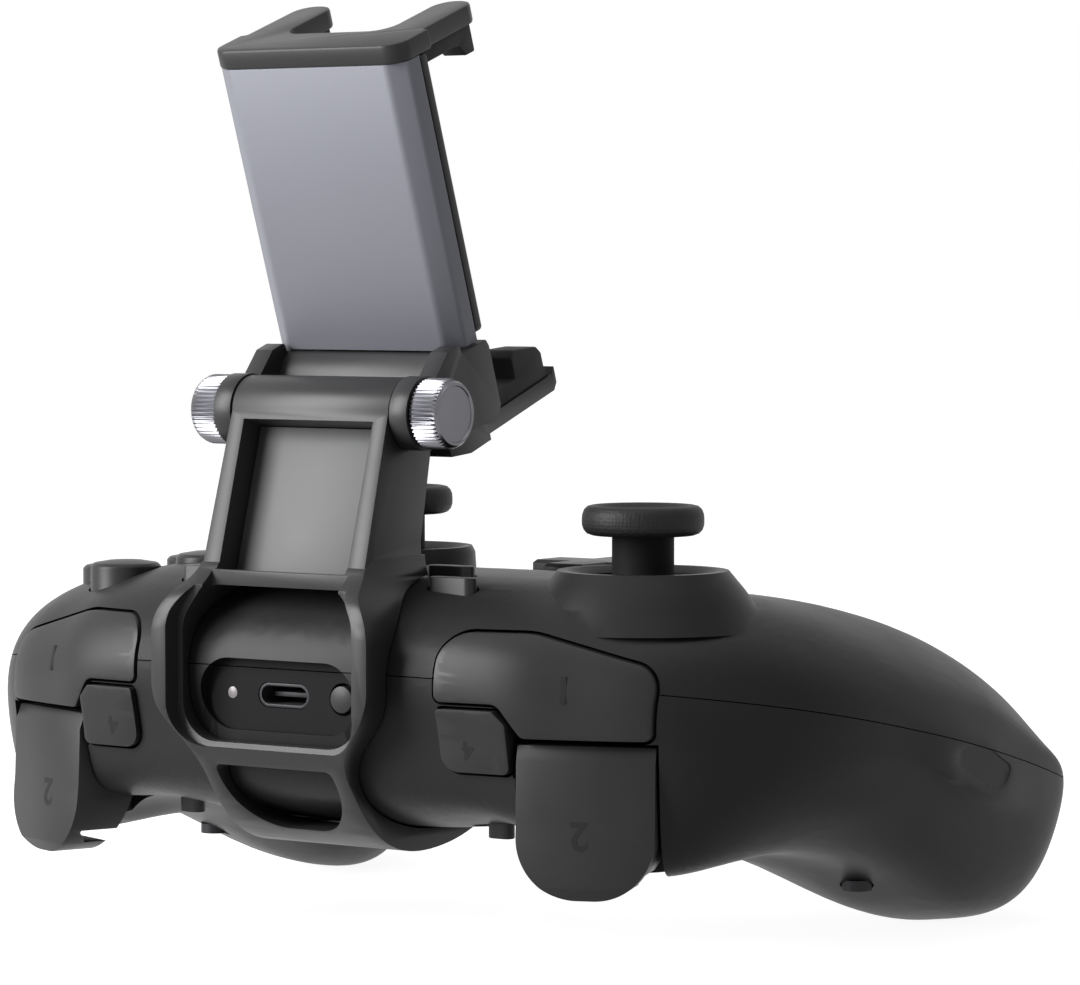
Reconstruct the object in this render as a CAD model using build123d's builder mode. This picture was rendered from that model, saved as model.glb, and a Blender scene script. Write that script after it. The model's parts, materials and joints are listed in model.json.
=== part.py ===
# Mobile game controller: a gamepad with a phone bracket clipped over its middle.
# Millimetres. +X is the player's right, +Y points away from the player (the shoulder side), +Z is up.
# The origin is on the surface below the grips, midway between the grips' ends and the bracket's front.
import os
from math import cos, radians, sin, sqrt

from build123d import *

os.makedirs("parts", exist_ok=True)

# Shared clearances
parting_gap = 0.16
overrun = 30.0
seat_gap = 0.3
slide_gap = 0.35
axle_gap = 0.05

# Gamepad body
half_width = 78.5
half_depth = 58.5
body_height = 60.0
wall = 2.2
parting_front = 44.5
parting_middle = 34.7
parting_back = 20.4

# Body sections, each at a share of the half width, from the middle to the grip's outer side.
# Heights are shares of the body's height, at fixed shares of the section's length from front to back.
station_shares = (0.0, 0.17, 0.34, 0.46, 0.56, 0.66, 0.765, 0.855, 0.925, 0.975)
front_shares = (0.918, 0.912, 0.89, 0.875, 0.847, 0.80, 0.732, 0.622, 0.452, 0.137)
back_shares = (-0.28, -0.285, -0.305, -0.46, -0.752, -0.94, -0.995, -0.978, -0.923, -0.83)
length_shares = (0.0, 0.035, 0.17, 0.42, 0.68, 0.89, 1.0, 0.94, 0.77, 0.5, 0.22, 0.05)
height_shares = (
    (0.633, 0.845, 0.937, 0.957, 0.937, 0.863, 0.7, 0.517, 0.4, 0.338, 0.333, 0.433),
    (0.633, 0.845, 0.937, 0.957, 0.937, 0.863, 0.7, 0.517, 0.4, 0.338, 0.332, 0.43),
    (0.625, 0.838, 0.933, 0.952, 0.927, 0.837, 0.683, 0.49, 0.378, 0.335, 0.345, 0.425),
    (0.617, 0.83, 0.927, 0.94, 0.893, 0.777, 0.617, 0.41, 0.31, 0.3, 0.345, 0.4),
    (0.6, 0.82, 0.915, 0.917, 0.843, 0.692, 0.508, 0.258, 0.16, 0.243, 0.28, 0.325),
    (0.583, 0.803, 0.9, 0.9, 0.817, 0.658, 0.375, 0.083, 0.033, 0.182, 0.262, 0.27),
    (0.57, 0.78, 0.873, 0.867, 0.783, 0.613, 0.342, 0.063, 0.012, 0.163, 0.28, 0.285),
    (0.563, 0.738, 0.82, 0.81, 0.727, 0.57, 0.345, 0.085, 0.03, 0.172, 0.303, 0.383),
    (0.56, 0.69, 0.75, 0.733, 0.653, 0.52, 0.355, 0.14, 0.092, 0.2, 0.347, 0.447),
    (0.55, 0.61, 0.64, 0.618, 0.557, 0.473, 0.393, 0.293, 0.26, 0.307, 0.41, 0.49),
)
tip_centre_share = -0.346
tip_height_share = 0.462
tip_shares = (0.99, 0.998)

# The outer stick and the face buttons mirror each other, and so do the inner stick and the direction pad.
outer_x = 45.2
outer_y = 24.0
inner_x = 19.5
inner_y = -3.3
pad_top = 58.5
pad_rim_radius = 12.2
pad_shoulder_radius = 15.2
pad_shoulder_drop = 3.0
pad_foot_radius = 18.9
pad_foot_drop = 8.5
pad_dish = 1.0
boss_foot_radius = 13.6
boss_drop = 15.5

# Thumb sticks, turned about a pivot inside a housing on the board
stick_hole_radius = 9.8
pivot_z = 46.0
stick_click = 0.5
dome_radius = 11.2
dome_thickness = 1.0
dome_gap = 0.5
dome_rim_rise = 1.9
stem_radius = 4.6
neck_radius = 1.45
cap_radius = 9.05
cap_bottom = 63.7
cap_top = 68.1
cap_rim_round = 1.5
cap_dish = 1.1
cap_dish_radius = 6.6
core_radius = 6.9
core_height = 2.0
trunnion_radius = 0.6
hub_half_height = 1.2
housing_size = 12.6
housing_wall = 0.9
housing_rise = 2.0
carrier_wall = 1.2
carrier_rise = 1.5
carrier_drop = 4.6
yoke_wall = 1.1
yoke_height = 3.0
switch_size = 5.0

# Face buttons over a rubber membrane
button_spacing = 9.5
button_radius = 5.5
button_plane = 57.3
button_side_fall = 0.13
button_crown = 0.5
button_travel = 1.2
button_flange = 0.8
button_flange_height = 1.0
tube_wall = 0.7
tube_low = 49.5
membrane_height = 1.0
collar_radius = 3.6

# Direction pad on a small gimbal
cross_half = 10.0
cross_width = 7.4
cross_pad_top = 55.2
cross_top = 57.5
cross_thickness = 3.6
cross_gap = 0.55
cross_pivot_z = 51.6
cross_lip = 2.4
gimbal_size = 2.6
gimbal_gap = 0.3
gimbal_tab = 1.0
gimbal_post_radius = 3.2

# Pill-shaped buttons beside the bracket
pill_length = 8.0
pill_width = 2.6
pill_front_x = 23.1
pill_front_y = 41.2
pill_front_top = 57.6
pill_back_x = 18.4
pill_back_y = 35.0
pill_back_top = 58.8
pill_height = 5.2
pill_flange = 0.8
pill_flange_height = 1.0

# Main board and what it carries
board_thickness = 1.6
board_gap = 0.1
board_half = 31.0
board_front = 44.4
board_back = -11.0
wing_end = 59.0
wing_front = 37.0
wing_back = 10.5
battery_length = 42.0
battery_depth = 28.0
battery_height = 8.0
battery_y = 14.5
tray_rib = 2.0
motor_radius = 9.0
motor_length = 15.0
motor_chamfer = 1.0
motor_x = 60.0
motor_y = -34.0
motor_z = 9.0
cradle_wall = 1.8
cradle_height = 6.0

# Shell screws, driven up from below into posts
grip_screw_x = 62.0
grip_screw_y = -10.0
middle_screw_x = 27.5
middle_screw_y = 7.5
screw_radius = 1.2
screw_head_radius = 2.3
screw_head_height = 1.6
post_radius = 3.3
post_split = 33.0
screw_bite = 8.0
screw_sink = 3.0
foot_of_grip_screw = 5.5
foot_of_middle_screw = 20.5

# Charging port recess in the shoulder face
port_z = 39.7
recess_length = 28.6
recess_height = 10.8
recess_floor_y = 52.0
recess_backing = 2.4
port_width = 9.3
port_height = 3.6
port_depth = 7.4
port_shell = 0.45
blade_height = 0.7
blade_width = 6.6
blade_length = 5.2
light_x = 9.6
light_radius = 0.9
light_length = 4.0
pair_x = 10.9
pair_radius = 2.0
pair_length = 5.2
pair_gap = 0.45
pair_flange = 0.9
pair_flange_thickness = 0.6
pair_travel = 0.5

# Shoulder controls
bay_gap = 0.45
bumper_inner = 27.8
bumper_outer = 59.4
bumper_top = 50.4
bumper_top_outer = 45.6
bumper_crest_x = 41.0
bumper_step_x = 38.0
bumper_low_inner = 40.4
bumper_low = 35.6
bumper_slant_x = 41.4
bumper_back = 38.0
bumper_rise = 0.35
bumper_skin = 2.0
bumper_corner = 4.4
bumper_crest_round = 12.0
bumper_travel = 0.8
macro_inner = 28.3
macro_outer = 39.4
macro_top = 39.4
macro_low = 30.2
macro_rise = 0.9
macro_back = 46.6
macro_side_y = 49.4
macro_taper = 1.0
macro_bevel = 1.9
macro_corner = 2.6
macro_travel = 0.8
trigger_sweep = 21.0
trigger_inner_x = 40.6
trigger_inner_y = 50.4
trigger_width = 20.4
trigger_top = 34.6
trigger_low = 12.5
trigger_bevel = 2.3
trigger_bevel_depth = 0.9
trigger_wall = 1.7
trigger_roof = 1.8
trigger_flare = 1.2
trigger_foot = 6.0
trigger_corner = 9.0
pivot_back = 7.2
trigger_pivot_z = 30.0
trigger_pin_radius = 0.95
trigger_coil_radius = 1.75
tower_half = 3.5
lug_radius = 2.3
bay_depth = 13.0
bay_wall = 1.8

# Trigger stop slider under each side
stop_x = 29.0
stop_y = 37.2
stop_length = 4.2
stop_width = 2.4
stop_low = 19.0
stop_height = 5.6
stop_flange = 0.8
stop_flange_height = 1.0
stop_travel = 2.4

# Clip frame of the bracket. Its side outline runs from the arm's foot down the front and back under
# the body, in shares of the frame's front and top.
clip_gap = 0.3
frame_front = 58.5
frame_top = 60.4
frame_side_shares = (
    (0.895, 0.975), (0.926, 0.941), (0.976, 0.9), (1.0, 0.82), (1.0, 0.63), (0.976, 0.548), (0.911, 0.442),
    (0.81, 0.328), (0.7, 0.274), (0.55, 0.264), (0.42, 0.285), (0.31, 0.325),
)
hook_end_y = 18.0
frame_half = 19.9
frame_hook_half = 15.0
frame_leg_half = 13.3
frame_waist_z = 38.5
frame_leg_z = 30.4
frame_shoulder_z = 51.5
frame_hook_z = 57.5
frame_corner = 9.0
window_half = 17.2
window_low = 31.8
window_top = 56.6
window_top_half = 13.4
window_corner = 6.0
window_step = 0.8
window_step_y = 55.4
foot_gap_half = 12.6
foot_gap_back = 53.0
strip_height = 2.6
leg_width = 2.5
leg_window_low = 19.2
leg_window_corner = 8.0
hook_back = 37.0

# Arm of the bracket
arm_foot_y = 52.4
arm_foot_z = 58.0
arm_foot_half = 15.0
arm_half = 14.5
arm_waist_y = 37.8
arm_waist_z = 62.6
arm_back_z = 75.1
pocket_half = 12.0
pocket_foot_half = 11.9
pocket_rim = 1.2
pocket_depth = 5.1
panel_thickness = 1.0
panel_gap = 0.15

# Tilt hinge
hinge_y = 40.3
hinge_z = 81.5
barrel_radius = 5.3
bolt_radius = 1.5
bolt_half = 21.4
ear_radius = 5.5
ear_inner = 14.8
ear_outer = 17.9
washer_thickness = 0.2
washer_radius = 4.4
knob_radius = 5.3
knob_inner = 18.1
knob_outer = 23.0
knob_chamfer = 0.7
knob_flutes = 48
flute_radius = 0.24

# Phone holder. It leans back, and its sizes are measured from the hinge: rises along the plate, and
# reaches square to the plate, towards the player.
lean = 19.5
plate_low = 5.5
plate_high = 50.1
plate_front = 11.4
plate_back = 18.2
plate_half = 17.4
plate_flat_half = 14.5
plate_facet = 2.0
plate_skin = 1.2
cover_thickness = 1.6
cover_inset = 1.0
rest_pad_thickness = 0.8
rest_pad_half = 11.0
rest_pad_margin = 5.0
spine_half = 10.6
spine_rise = 46.0
spine_thickness = 2.0
rod_x = 13.4
rod_radius = 0.8
spring_radius = 1.4
spring_rise = 15.0
runner_height = 3.0
wall_shares = (
    (-0.06, 0.27), (0.18, 0.22), (0.43, 0.37), (0.6, 0.37), (0.61, 0.285), (0.97, 0.285), (1.0, 0.22),
    (1.0, -0.31), (0.9, -0.42), (0.69, -0.37), (0.016, -0.3),
)
base_front = 8.3
barrel_gap = 0.7
lower_top = -8.7
lower_thickness = 2.6
lower_half = 13.0
lower_reach = 40.2
lower_lip = 1.0
pad_thickness = 2.6
lower_pad_start = 25.0
lower_hook_start = 30.2
lower_hook_end = 38.2
lower_hook_rise = 4.4
lower_hook_slope = 1.6
pad_inner = 6.9
pad_outer = 12.7
jaw_thickness = 3.0
jaw_half = 17.5
jaw_corner = 3.2
jaw_strip = 8.4
jaw_reach = 34.6
claw_inner = 9.6
claw_outer = 16.5
upper_pad_start = 20.4
upper_hook_start = 29.6
upper_hook_drop = 2.0
upper_pad_margin = 1.3


def section_points(index, inset):
    front = front_shares[index] * half_depth
    back = back_shares[index] * half_depth
    points = []
    for along, share in zip(length_shares, height_shares[index]):
        points.append((front + (back - front) * along, share * body_height))
    moved = []
    for place, (y, z) in enumerate(points):
        before = points[place - 1]
        after = points[(place + 1) % len(points)]
        run_y = after[0] - before[0]
        run_z = after[1] - before[1]
        size = sqrt(run_y**2 + run_z**2)
        moved.append((y - inset * run_z / size, z + inset * run_y / size))
    return moved


def side_sections(inset):
    """Sections from the middle outwards. An inner form stops two stations short, so the tips stay thick."""
    sections = []
    for index, share in enumerate(station_shares):
        sections.append((share * half_width, section_points(index, inset)))
    if inset > 0:
        return sections[:-2]
    last_x, last = sections[-1]
    centre_y = tip_centre_share * half_depth
    centre_z = tip_height_share * body_height
    for share in tip_shares:
        size = sqrt((half_width - share * half_width) / (half_width - last_x))
        ring = []
        for y, z in last:
            ring.append((centre_y + (y - centre_y) * size, centre_z + (z - centre_z) * size))
        sections.append((share * half_width, ring))
    return sections


def body_form(inset):
    """The gamepad's whole form, moved inwards by the inset, or outwards where that is negative."""
    sections = side_sections(inset)
    rings = [(-x, ring) for x, ring in reversed(sections[1:])] + sections
    with BuildPart(mode=Mode.PRIVATE) as form:
        for x, ring in rings:
            with BuildSketch(Plane.YZ.offset(x)):
                with BuildLine():
                    Spline(*ring, periodic=True)
                make_face()
        loft()
    return form.part


def parting_region(lift, end_z):
    """All that lies between the parting surface, moved up by the lift, and the height end_z."""
    reach = half_depth + overrun
    with BuildPart(mode=Mode.PRIVATE) as region:
        with BuildSketch(Plane.YZ):
            with BuildLine():
                ThreePointArc(
                    (half_depth, parting_front + lift),
                    (0, parting_middle + lift),
                    (-half_depth, parting_back + lift),
                )
                Polyline(
                    (-half_depth, parting_back + lift),
                    (-reach, parting_back + lift),
                    (-reach, end_z),
                    (reach, end_z),
                    (reach, parting_front + lift),
                    (half_depth, parting_front + lift),
                )
            make_face()
        extrude(amount=half_width + overrun, both=True)
    return region.part


def prism(plane, points, near, far, corners=0):
    """A prism on an outline, from near to far along the plane's normal. Corners may be rounded."""
    with BuildPart(mode=Mode.PRIVATE) as form:
        with BuildSketch(plane.offset(near)):
            with BuildLine():
                if corners:
                    FilletPolyline(*points, radius=corners, close=True)
                else:
                    Polyline(*points, close=True)
            make_face()
        extrude(amount=far - near)
    return form.part


def turned(plane, points):
    """A form turned about the plane's own Y axis, from an outline of radius and height."""
    with BuildPart(mode=Mode.PRIVATE) as form:
        with BuildSketch(plane):
            with BuildLine():
                Polyline(*points, close=True)
            make_face()
        revolve(axis=Axis(plane.origin, plane.y_dir))
    return form.part


def upright(x, y, z=0):
    return Plane(origin=(x, y, z), x_dir=(1, 0, 0), z_dir=(0, -1, 0))


def sideways(x, y, z):
    """Its own Y axis runs along X, for pieces turned about the tilt hinge's line."""
    return Plane(origin=(x, y, z), x_dir=(0, 1, 0), z_dir=(0, 0, -1))


def rod(plane, radius, low, high):
    return turned(plane, [(0, low), (radius, low), (radius, high), (0, high)])


def sleeve(plane, inner, outer_radius, low, high):
    return turned(plane, [(inner, low), (outer_radius, low), (outer_radius, high), (inner, high)])


def block(low, high):
    """A box between two corners."""
    size = [high[axis] - low[axis] for axis in range(len(low))]
    with BuildPart(mode=Mode.PRIVATE) as form:
        with Locations([(low[0], low[1], low[2])]):
            Box(*size, align=(Align.MIN, Align.MIN, Align.MIN))
    return form.part


def slot_form(x, y, length, width, low, high):
    with BuildPart(mode=Mode.PRIVATE) as form:
        with BuildSketch(Plane.XY.offset(low)):
            with Locations((x, y)):
                SlotOverall(length, width)
        extrude(amount=high - low)
    return form.part


def front_slot(x, z, length, height, back, front):
    """A level slot in X and Z, from back to front along Y."""
    with BuildPart(mode=Mode.PRIVATE) as form:
        with BuildSketch(Plane.XZ.offset(-back)):
            with Locations((x, z)):
                SlotOverall(length, height)
        extrude(amount=back - front)
    return form.part


def keep(piece, name):
    piece.part.label = name
    export_step(piece.part, f"parts/{name}.step")


def keep_both(piece, name):
    """Writes a piece made for the player's right, and its mirror image for the left."""
    with BuildPart() as right:
        add(piece.part)
    with BuildPart() as left:
        add(piece.part.mirror(Plane.YZ))
    keep(right, f"right_{name}")
    keep(left, f"left_{name}")


def both(form):
    """A form and its mirror image."""
    return form + form.mirror(Plane.YZ)


outer_form = body_form(0)
inner_form = body_form(wall)
clip_form = body_form(-clip_gap)
upper_region = parting_region(parting_gap / 2, body_height + overrun)
lower_region = parting_region(-parting_gap / 2, -overrun)

# Sizes that several pieces share
board_top = port_z - port_height / 2 - board_gap
board_low = board_top - board_thickness
sweep = radians(trigger_sweep)
along = Vector(cos(sweep), -sin(sweep), 0)
outward = Vector(sin(sweep), cos(sweep), 0)
trigger_middle = Vector(trigger_inner_x, trigger_inner_y, 0) + along * (trigger_width / 2)
trigger_side = Plane(origin=trigger_middle, x_dir=outward, z_dir=along)
trigger_face = Plane(origin=trigger_middle, x_dir=along, z_dir=-outward)
trigger_axle = Plane(
    origin=trigger_middle - outward * pivot_back + Vector(0, 0, trigger_pivot_z),
    x_dir=outward,
    z_dir=(0, 0, -1),
)
trigger_half = trigger_width / 2
bay_half = trigger_half + bay_gap
screw_places = (
    (grip_screw_x, grip_screw_y, foot_of_grip_screw),
    (middle_screw_x, middle_screw_y, foot_of_middle_screw),
)
button_places = (
    ("north", outer_x, outer_y + button_spacing),
    ("east", outer_x + button_spacing, outer_y),
    ("south", outer_x, outer_y - button_spacing),
    ("west", outer_x - button_spacing, outer_y),
)
pill_places = (
    ("front", pill_front_x, pill_front_y, pill_front_top),
    ("back", pill_back_x, pill_back_y, pill_back_top),
)
stick_places = (("left", -outer_x, outer_y), ("right", inner_x, inner_y))

bumper_outline = (
    (bumper_inner, bumper_top),
    (bumper_crest_x, bumper_top),
    (bumper_outer, bumper_top_outer),
    (bumper_outer, bumper_low),
    (bumper_slant_x, bumper_low),
    (bumper_step_x, bumper_low_inner),
    (bumper_inner, bumper_low_inner),
)
bumper_corners = (bumper_corner, bumper_crest_round, bumper_corner, wall / 2, wall / 2, wall, wall / 2)
macro_outline = (
    (macro_inner, macro_top),
    (macro_outer - macro_bevel, macro_top),
    (macro_outer, macro_top - macro_bevel),
    (macro_outer, macro_low),
    (macro_inner, macro_low),
)
macro_corners = (wall / 4, wall / 4, wall / 4, wall / 2, macro_corner)
macro_plan = (
    (macro_inner, macro_back),
    (macro_outer - macro_taper, macro_back),
    (macro_outer, macro_side_y),
    (macro_outer, frame_front),
    (macro_inner, frame_front),
)


def grown(points, amount, corners=0):
    """An outline moved outwards by an amount, whichever way round it runs. Corners may be rounded."""
    with BuildSketch(mode=Mode.PRIVATE) as outline:
        with BuildLine():
            if corners:
                FilletPolyline(*points, radius=corners, close=True)
            else:
                Polyline(*points, close=True)
        make_face()
        offset(amount=amount, kind=Kind.INTERSECTION)
    return outline.sketch


def face_prism(face, near, far):
    with BuildPart(mode=Mode.PRIVATE) as form:
        with BuildSketch(Plane.XZ.offset(-near)):
            add(face)
        extrude(amount=near - far)
    return form.part

# Openings that both shells share
recess_cut = front_slot(0, port_z, recess_length, recess_height, recess_floor_y, frame_front)
recess_backing_form = front_slot(
    0,
    port_z,
    recess_length + wall * 2,
    recess_height + wall * 2,
    recess_floor_y - recess_backing,
    frame_front,
)
port_cut = front_slot(
    0,
    port_z,
    port_width + board_gap * 2,
    port_height + board_gap * 2,
    recess_floor_y - port_depth,
    frame_front,
)
bumper_bay = face_prism(
    grown(bumper_outline, bay_gap, bumper_corners),
    bumper_back - bumper_travel - bay_gap,
    frame_front,
)
with BuildPart() as macro_bay:
    macro_face = grown(macro_outline, bay_gap, macro_corners)
    add(face_prism(macro_face, macro_back - macro_travel - bay_gap, frame_front))
    with BuildSketch(Plane.XY):
        add(grown(macro_plan, bay_gap).moved(Location((0, -macro_travel, 0))))
        add(grown(macro_plan, bay_gap))
    extrude(amount=body_height, mode=Mode.INTERSECT)
    bridge_corner = (bumper_slant_x + bay_gap, frame_front, macro_top)
    add(block((macro_outer, macro_back, macro_low - bay_gap), bridge_corner))
with BuildPart() as trigger_bay:
    with BuildSketch(trigger_side):
        with BuildLine():
            Polyline(
                (-bay_depth, -overrun),
                (-bay_depth, bumper_low - bay_gap),
                (overrun, bumper_low - bay_gap),
                (overrun, -overrun),
                close=True,
            )
        make_face()
    extrude(amount=bay_half, both=True)
with BuildPart() as bay_liner:
    with BuildSketch(trigger_side):
        with BuildLine():
            Polyline(
                (-bay_depth - bay_wall, 0),
                (-bay_depth - bay_wall, bumper_low - bay_gap),
                (overrun, bumper_low - bay_gap),
                (overrun, 0),
                close=True,
            )
        make_face()
    extrude(amount=bay_half + bay_wall, both=True)
    add(outer_form, mode=Mode.INTERSECT)
    add(trigger_bay.part, mode=Mode.SUBTRACT)
with BuildPart() as tower:
    with BuildSketch(trigger_side):
        with BuildLine():
            Polyline(
                (-pivot_back + lug_radius, trigger_pivot_z),
                (-pivot_back - lug_radius, trigger_low + bay_wall * 2),
                (-bay_depth - bay_wall, trigger_low + bay_wall * 2),
                (-bay_depth - bay_wall, trigger_pivot_z + lug_radius),
                (-pivot_back, trigger_pivot_z + lug_radius),
                close=True,
            )
        make_face()
        with Locations((-pivot_back, trigger_pivot_z)):
            Circle(lug_radius)
    extrude(amount=tower_half, both=True)
    add(outer_form, mode=Mode.INTERSECT)
    add(rod(trigger_axle, trigger_pin_radius + axle_gap, -overrun, overrun), mode=Mode.SUBTRACT)

# Forms raised from the upper shell round the sticks and the direction pad
outer_pad_outline = (
    (0, pad_top - pad_foot_drop),
    (pad_foot_radius, pad_top - pad_foot_drop),
    (pad_shoulder_radius, pad_top - pad_shoulder_drop),
    (pad_rim_radius + pad_dish / 2, pad_top),
    (pad_rim_radius - pad_dish, pad_top),
    (stick_hole_radius, pad_top - pad_dish),
    (0, pad_top - pad_dish),
)


def boss_outline(top):
    return [
        (0, pad_top - boss_drop),
        (boss_foot_radius, pad_top - boss_drop),
        (pad_rim_radius + pad_dish / 2, top - pad_dish),
        (pad_rim_radius, top),
        (pad_rim_radius - pad_dish, top),
        (stick_hole_radius, top - pad_dish),
        (0, top - pad_dish),
    ]


upper_additions = [recess_backing_form]
for name, x, y in button_places:
    upper_additions.append(rod(upright(x, y), button_radius + slide_gap + tube_wall, tube_low, body_height))
for x, y, foot in screw_places:
    upper_additions += [rod(upright(side * x, y), post_radius, post_split, body_height) for side in (-1, 1)]
with BuildPart() as upper_inside:
    add(upper_additions)
    add(outer_form, mode=Mode.INTERSECT)

bay_cuts = [recess_cut]
for form in (bumper_bay, macro_bay.part):
    bay_cuts += [form, form.mirror(Plane.YZ)]
upper_cuts = list(bay_cuts)
for name, x, y in stick_places:
    upper_cuts.append(rod(upright(x, y), stick_hole_radius, pivot_z, body_height + overrun))
    upper_cuts.append(Sphere(dome_radius + dome_gap).moved(Location((x, y, pivot_z))))
cross_well = rod(upright(-inner_x, inner_y), cross_half + cross_gap * 2, board_low, cross_pad_top - cross_lip)
upper_cuts.append(cross_well)
for length, width in ((cross_half * 2, cross_width), (cross_width, cross_half * 2)):
    reach_x = length / 2 + cross_gap
    reach_y = width / 2 + cross_gap
    upper_cuts.append(
        block(
            (-inner_x - reach_x, inner_y - reach_y, cross_pad_top - cross_lip * 2),
            (-inner_x + reach_x, inner_y + reach_y, body_height + overrun),
        )
    )
for name, x, y in button_places:
    upper_cuts.append(rod(upright(x, y), button_radius + slide_gap, board_low, body_height + overrun))
for x, y, foot in screw_places:
    for side in (-1, 1):
        upper_cuts.append(rod(upright(side * x, y), screw_radius - axle_gap, foot, post_split + screw_bite))
for name, x, y, top in pill_places:
    for side in (-1, 1):
        length = pill_length + slide_gap * 2
        width = pill_width + slide_gap * 2
        flange_top = top - pill_height + pill_flange_height
        upper_cuts.append(slot_form(side * x, y, length, width, flange_top, body_height + overrun))
        upper_cuts.append(
            slot_form(
                side * x,
                y,
                length + pill_flange * 2,
                width + pill_flange * 2,
                board_top,
                flange_top + seat_gap,
            )
        )

with BuildPart() as upper_shell:
    add(outer_form)
    add(inner_form, mode=Mode.SUBTRACT)
    add(upper_region, mode=Mode.INTERSECT)
    add(
        [
            upper_inside.part & upper_region,
            turned(upright(-outer_x, outer_y), outer_pad_outline),
            turned(upright(inner_x, inner_y), boss_outline(pad_top)),
            turned(upright(-inner_x, inner_y), boss_outline(cross_pad_top)),
        ]
    )
    for cut in upper_cuts:
        add(cut, mode=Mode.SUBTRACT)
keep(upper_shell, "upper_shell")

lower_additions = [recess_backing_form, bay_liner.part, bay_liner.part.mirror(Plane.YZ)]
for x, y, foot in screw_places:
    for side in (-1, 1):
        lower_additions.append(rod(upright(side * x, y), post_radius, 0, post_split - parting_gap))
for side in (-1, 1):
    cradle_radius = motor_radius + seat_gap + cradle_wall
    lower_additions.append(rod(upright(side * motor_x, motor_y), cradle_radius, 0, motor_z + cradle_height))
    rib_x = side * battery_length / 4
    lower_additions.append(
        block(
            (rib_x - tray_rib / 2, battery_y - battery_depth / 2, 0),
            (rib_x + tray_rib / 2, battery_y + battery_depth / 2, board_low - battery_height - seat_gap * 2),
        )
    )
with BuildPart() as lower_inside:
    add(lower_additions)
    add(outer_form, mode=Mode.INTERSECT)

light_plane = Plane(origin=(light_x, recess_floor_y, port_z), x_dir=(1, 0, 0), z_dir=(0, 0, 1))
pair_plane = Plane(origin=(-pair_x, recess_floor_y, port_z), x_dir=(1, 0, 0), z_dir=(0, 0, 1))
lower_cuts = list(bay_cuts)
lower_cuts += [trigger_bay.part, trigger_bay.part.mirror(Plane.YZ), port_cut]
lower_cuts.append(rod(light_plane, light_radius + axle_gap, -light_length * 2, light_length))
lower_cuts.append(rod(pair_plane, pair_radius + pair_gap, -light_length * 2, light_length))
for side in (-1, 1):
    lower_cuts.append(rod(upright(side * motor_x, motor_y), motor_radius + seat_gap, motor_z, body_height))
    lower_cuts.append(
        slot_form(
            side * (stop_x - stop_travel / 2),
            stop_y,
            stop_length + stop_travel + slide_gap * 2,
            stop_width + slide_gap * 2,
            0,
            stop_low + stop_height * 2,
        )
    )
    for x, y, foot in screw_places:
        head_top = foot + screw_sink + screw_head_height
        lower_cuts.append(rod(upright(side * x, y), screw_radius + axle_gap, 0, body_height))
        lower_cuts.append(rod(upright(side * x, y), screw_head_radius + seat_gap, 0, head_top))

with BuildPart() as lower_shell:
    add(outer_form)
    add(inner_form, mode=Mode.SUBTRACT)
    add(lower_region, mode=Mode.INTERSECT)
    add(lower_inside.part & lower_region)
    add(lower_cuts, mode=Mode.SUBTRACT)
    add([tower.part, tower.part.mirror(Plane.YZ)])
keep(lower_shell, "lower_shell")

# Bumpers, small shoulder buttons and triggers, made for the player's right
with BuildPart() as bumper_core:
    add(face_prism(grown(bumper_outline, -bumper_skin), 0, body_height))
    add(body_form(bumper_skin), mode=Mode.INTERSECT)
with BuildPart() as bumper:
    add(prism(Plane.XZ, bumper_outline, -bumper_back, -half_depth - overrun, bumper_corners))
    add(body_form(-bumper_rise), mode=Mode.INTERSECT)
    add(bumper_core.part, mode=Mode.SUBTRACT)
    button_clearance = button_radius + button_flange + seat_gap + bumper_travel
    add(rod(upright(outer_x, outer_y + button_spacing), button_clearance, 0, body_height), mode=Mode.SUBTRACT)
keep_both(bumper, "bumper")

with BuildPart() as macro_button:
    add(prism(Plane.XZ, macro_outline, -macro_back, -half_depth - overrun, macro_corners))
    add(body_form(-macro_rise), mode=Mode.INTERSECT)
    add(prism(Plane.XY, macro_plan, 0, body_height), mode=Mode.INTERSECT)
keep_both(macro_button, "rear_button")

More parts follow.
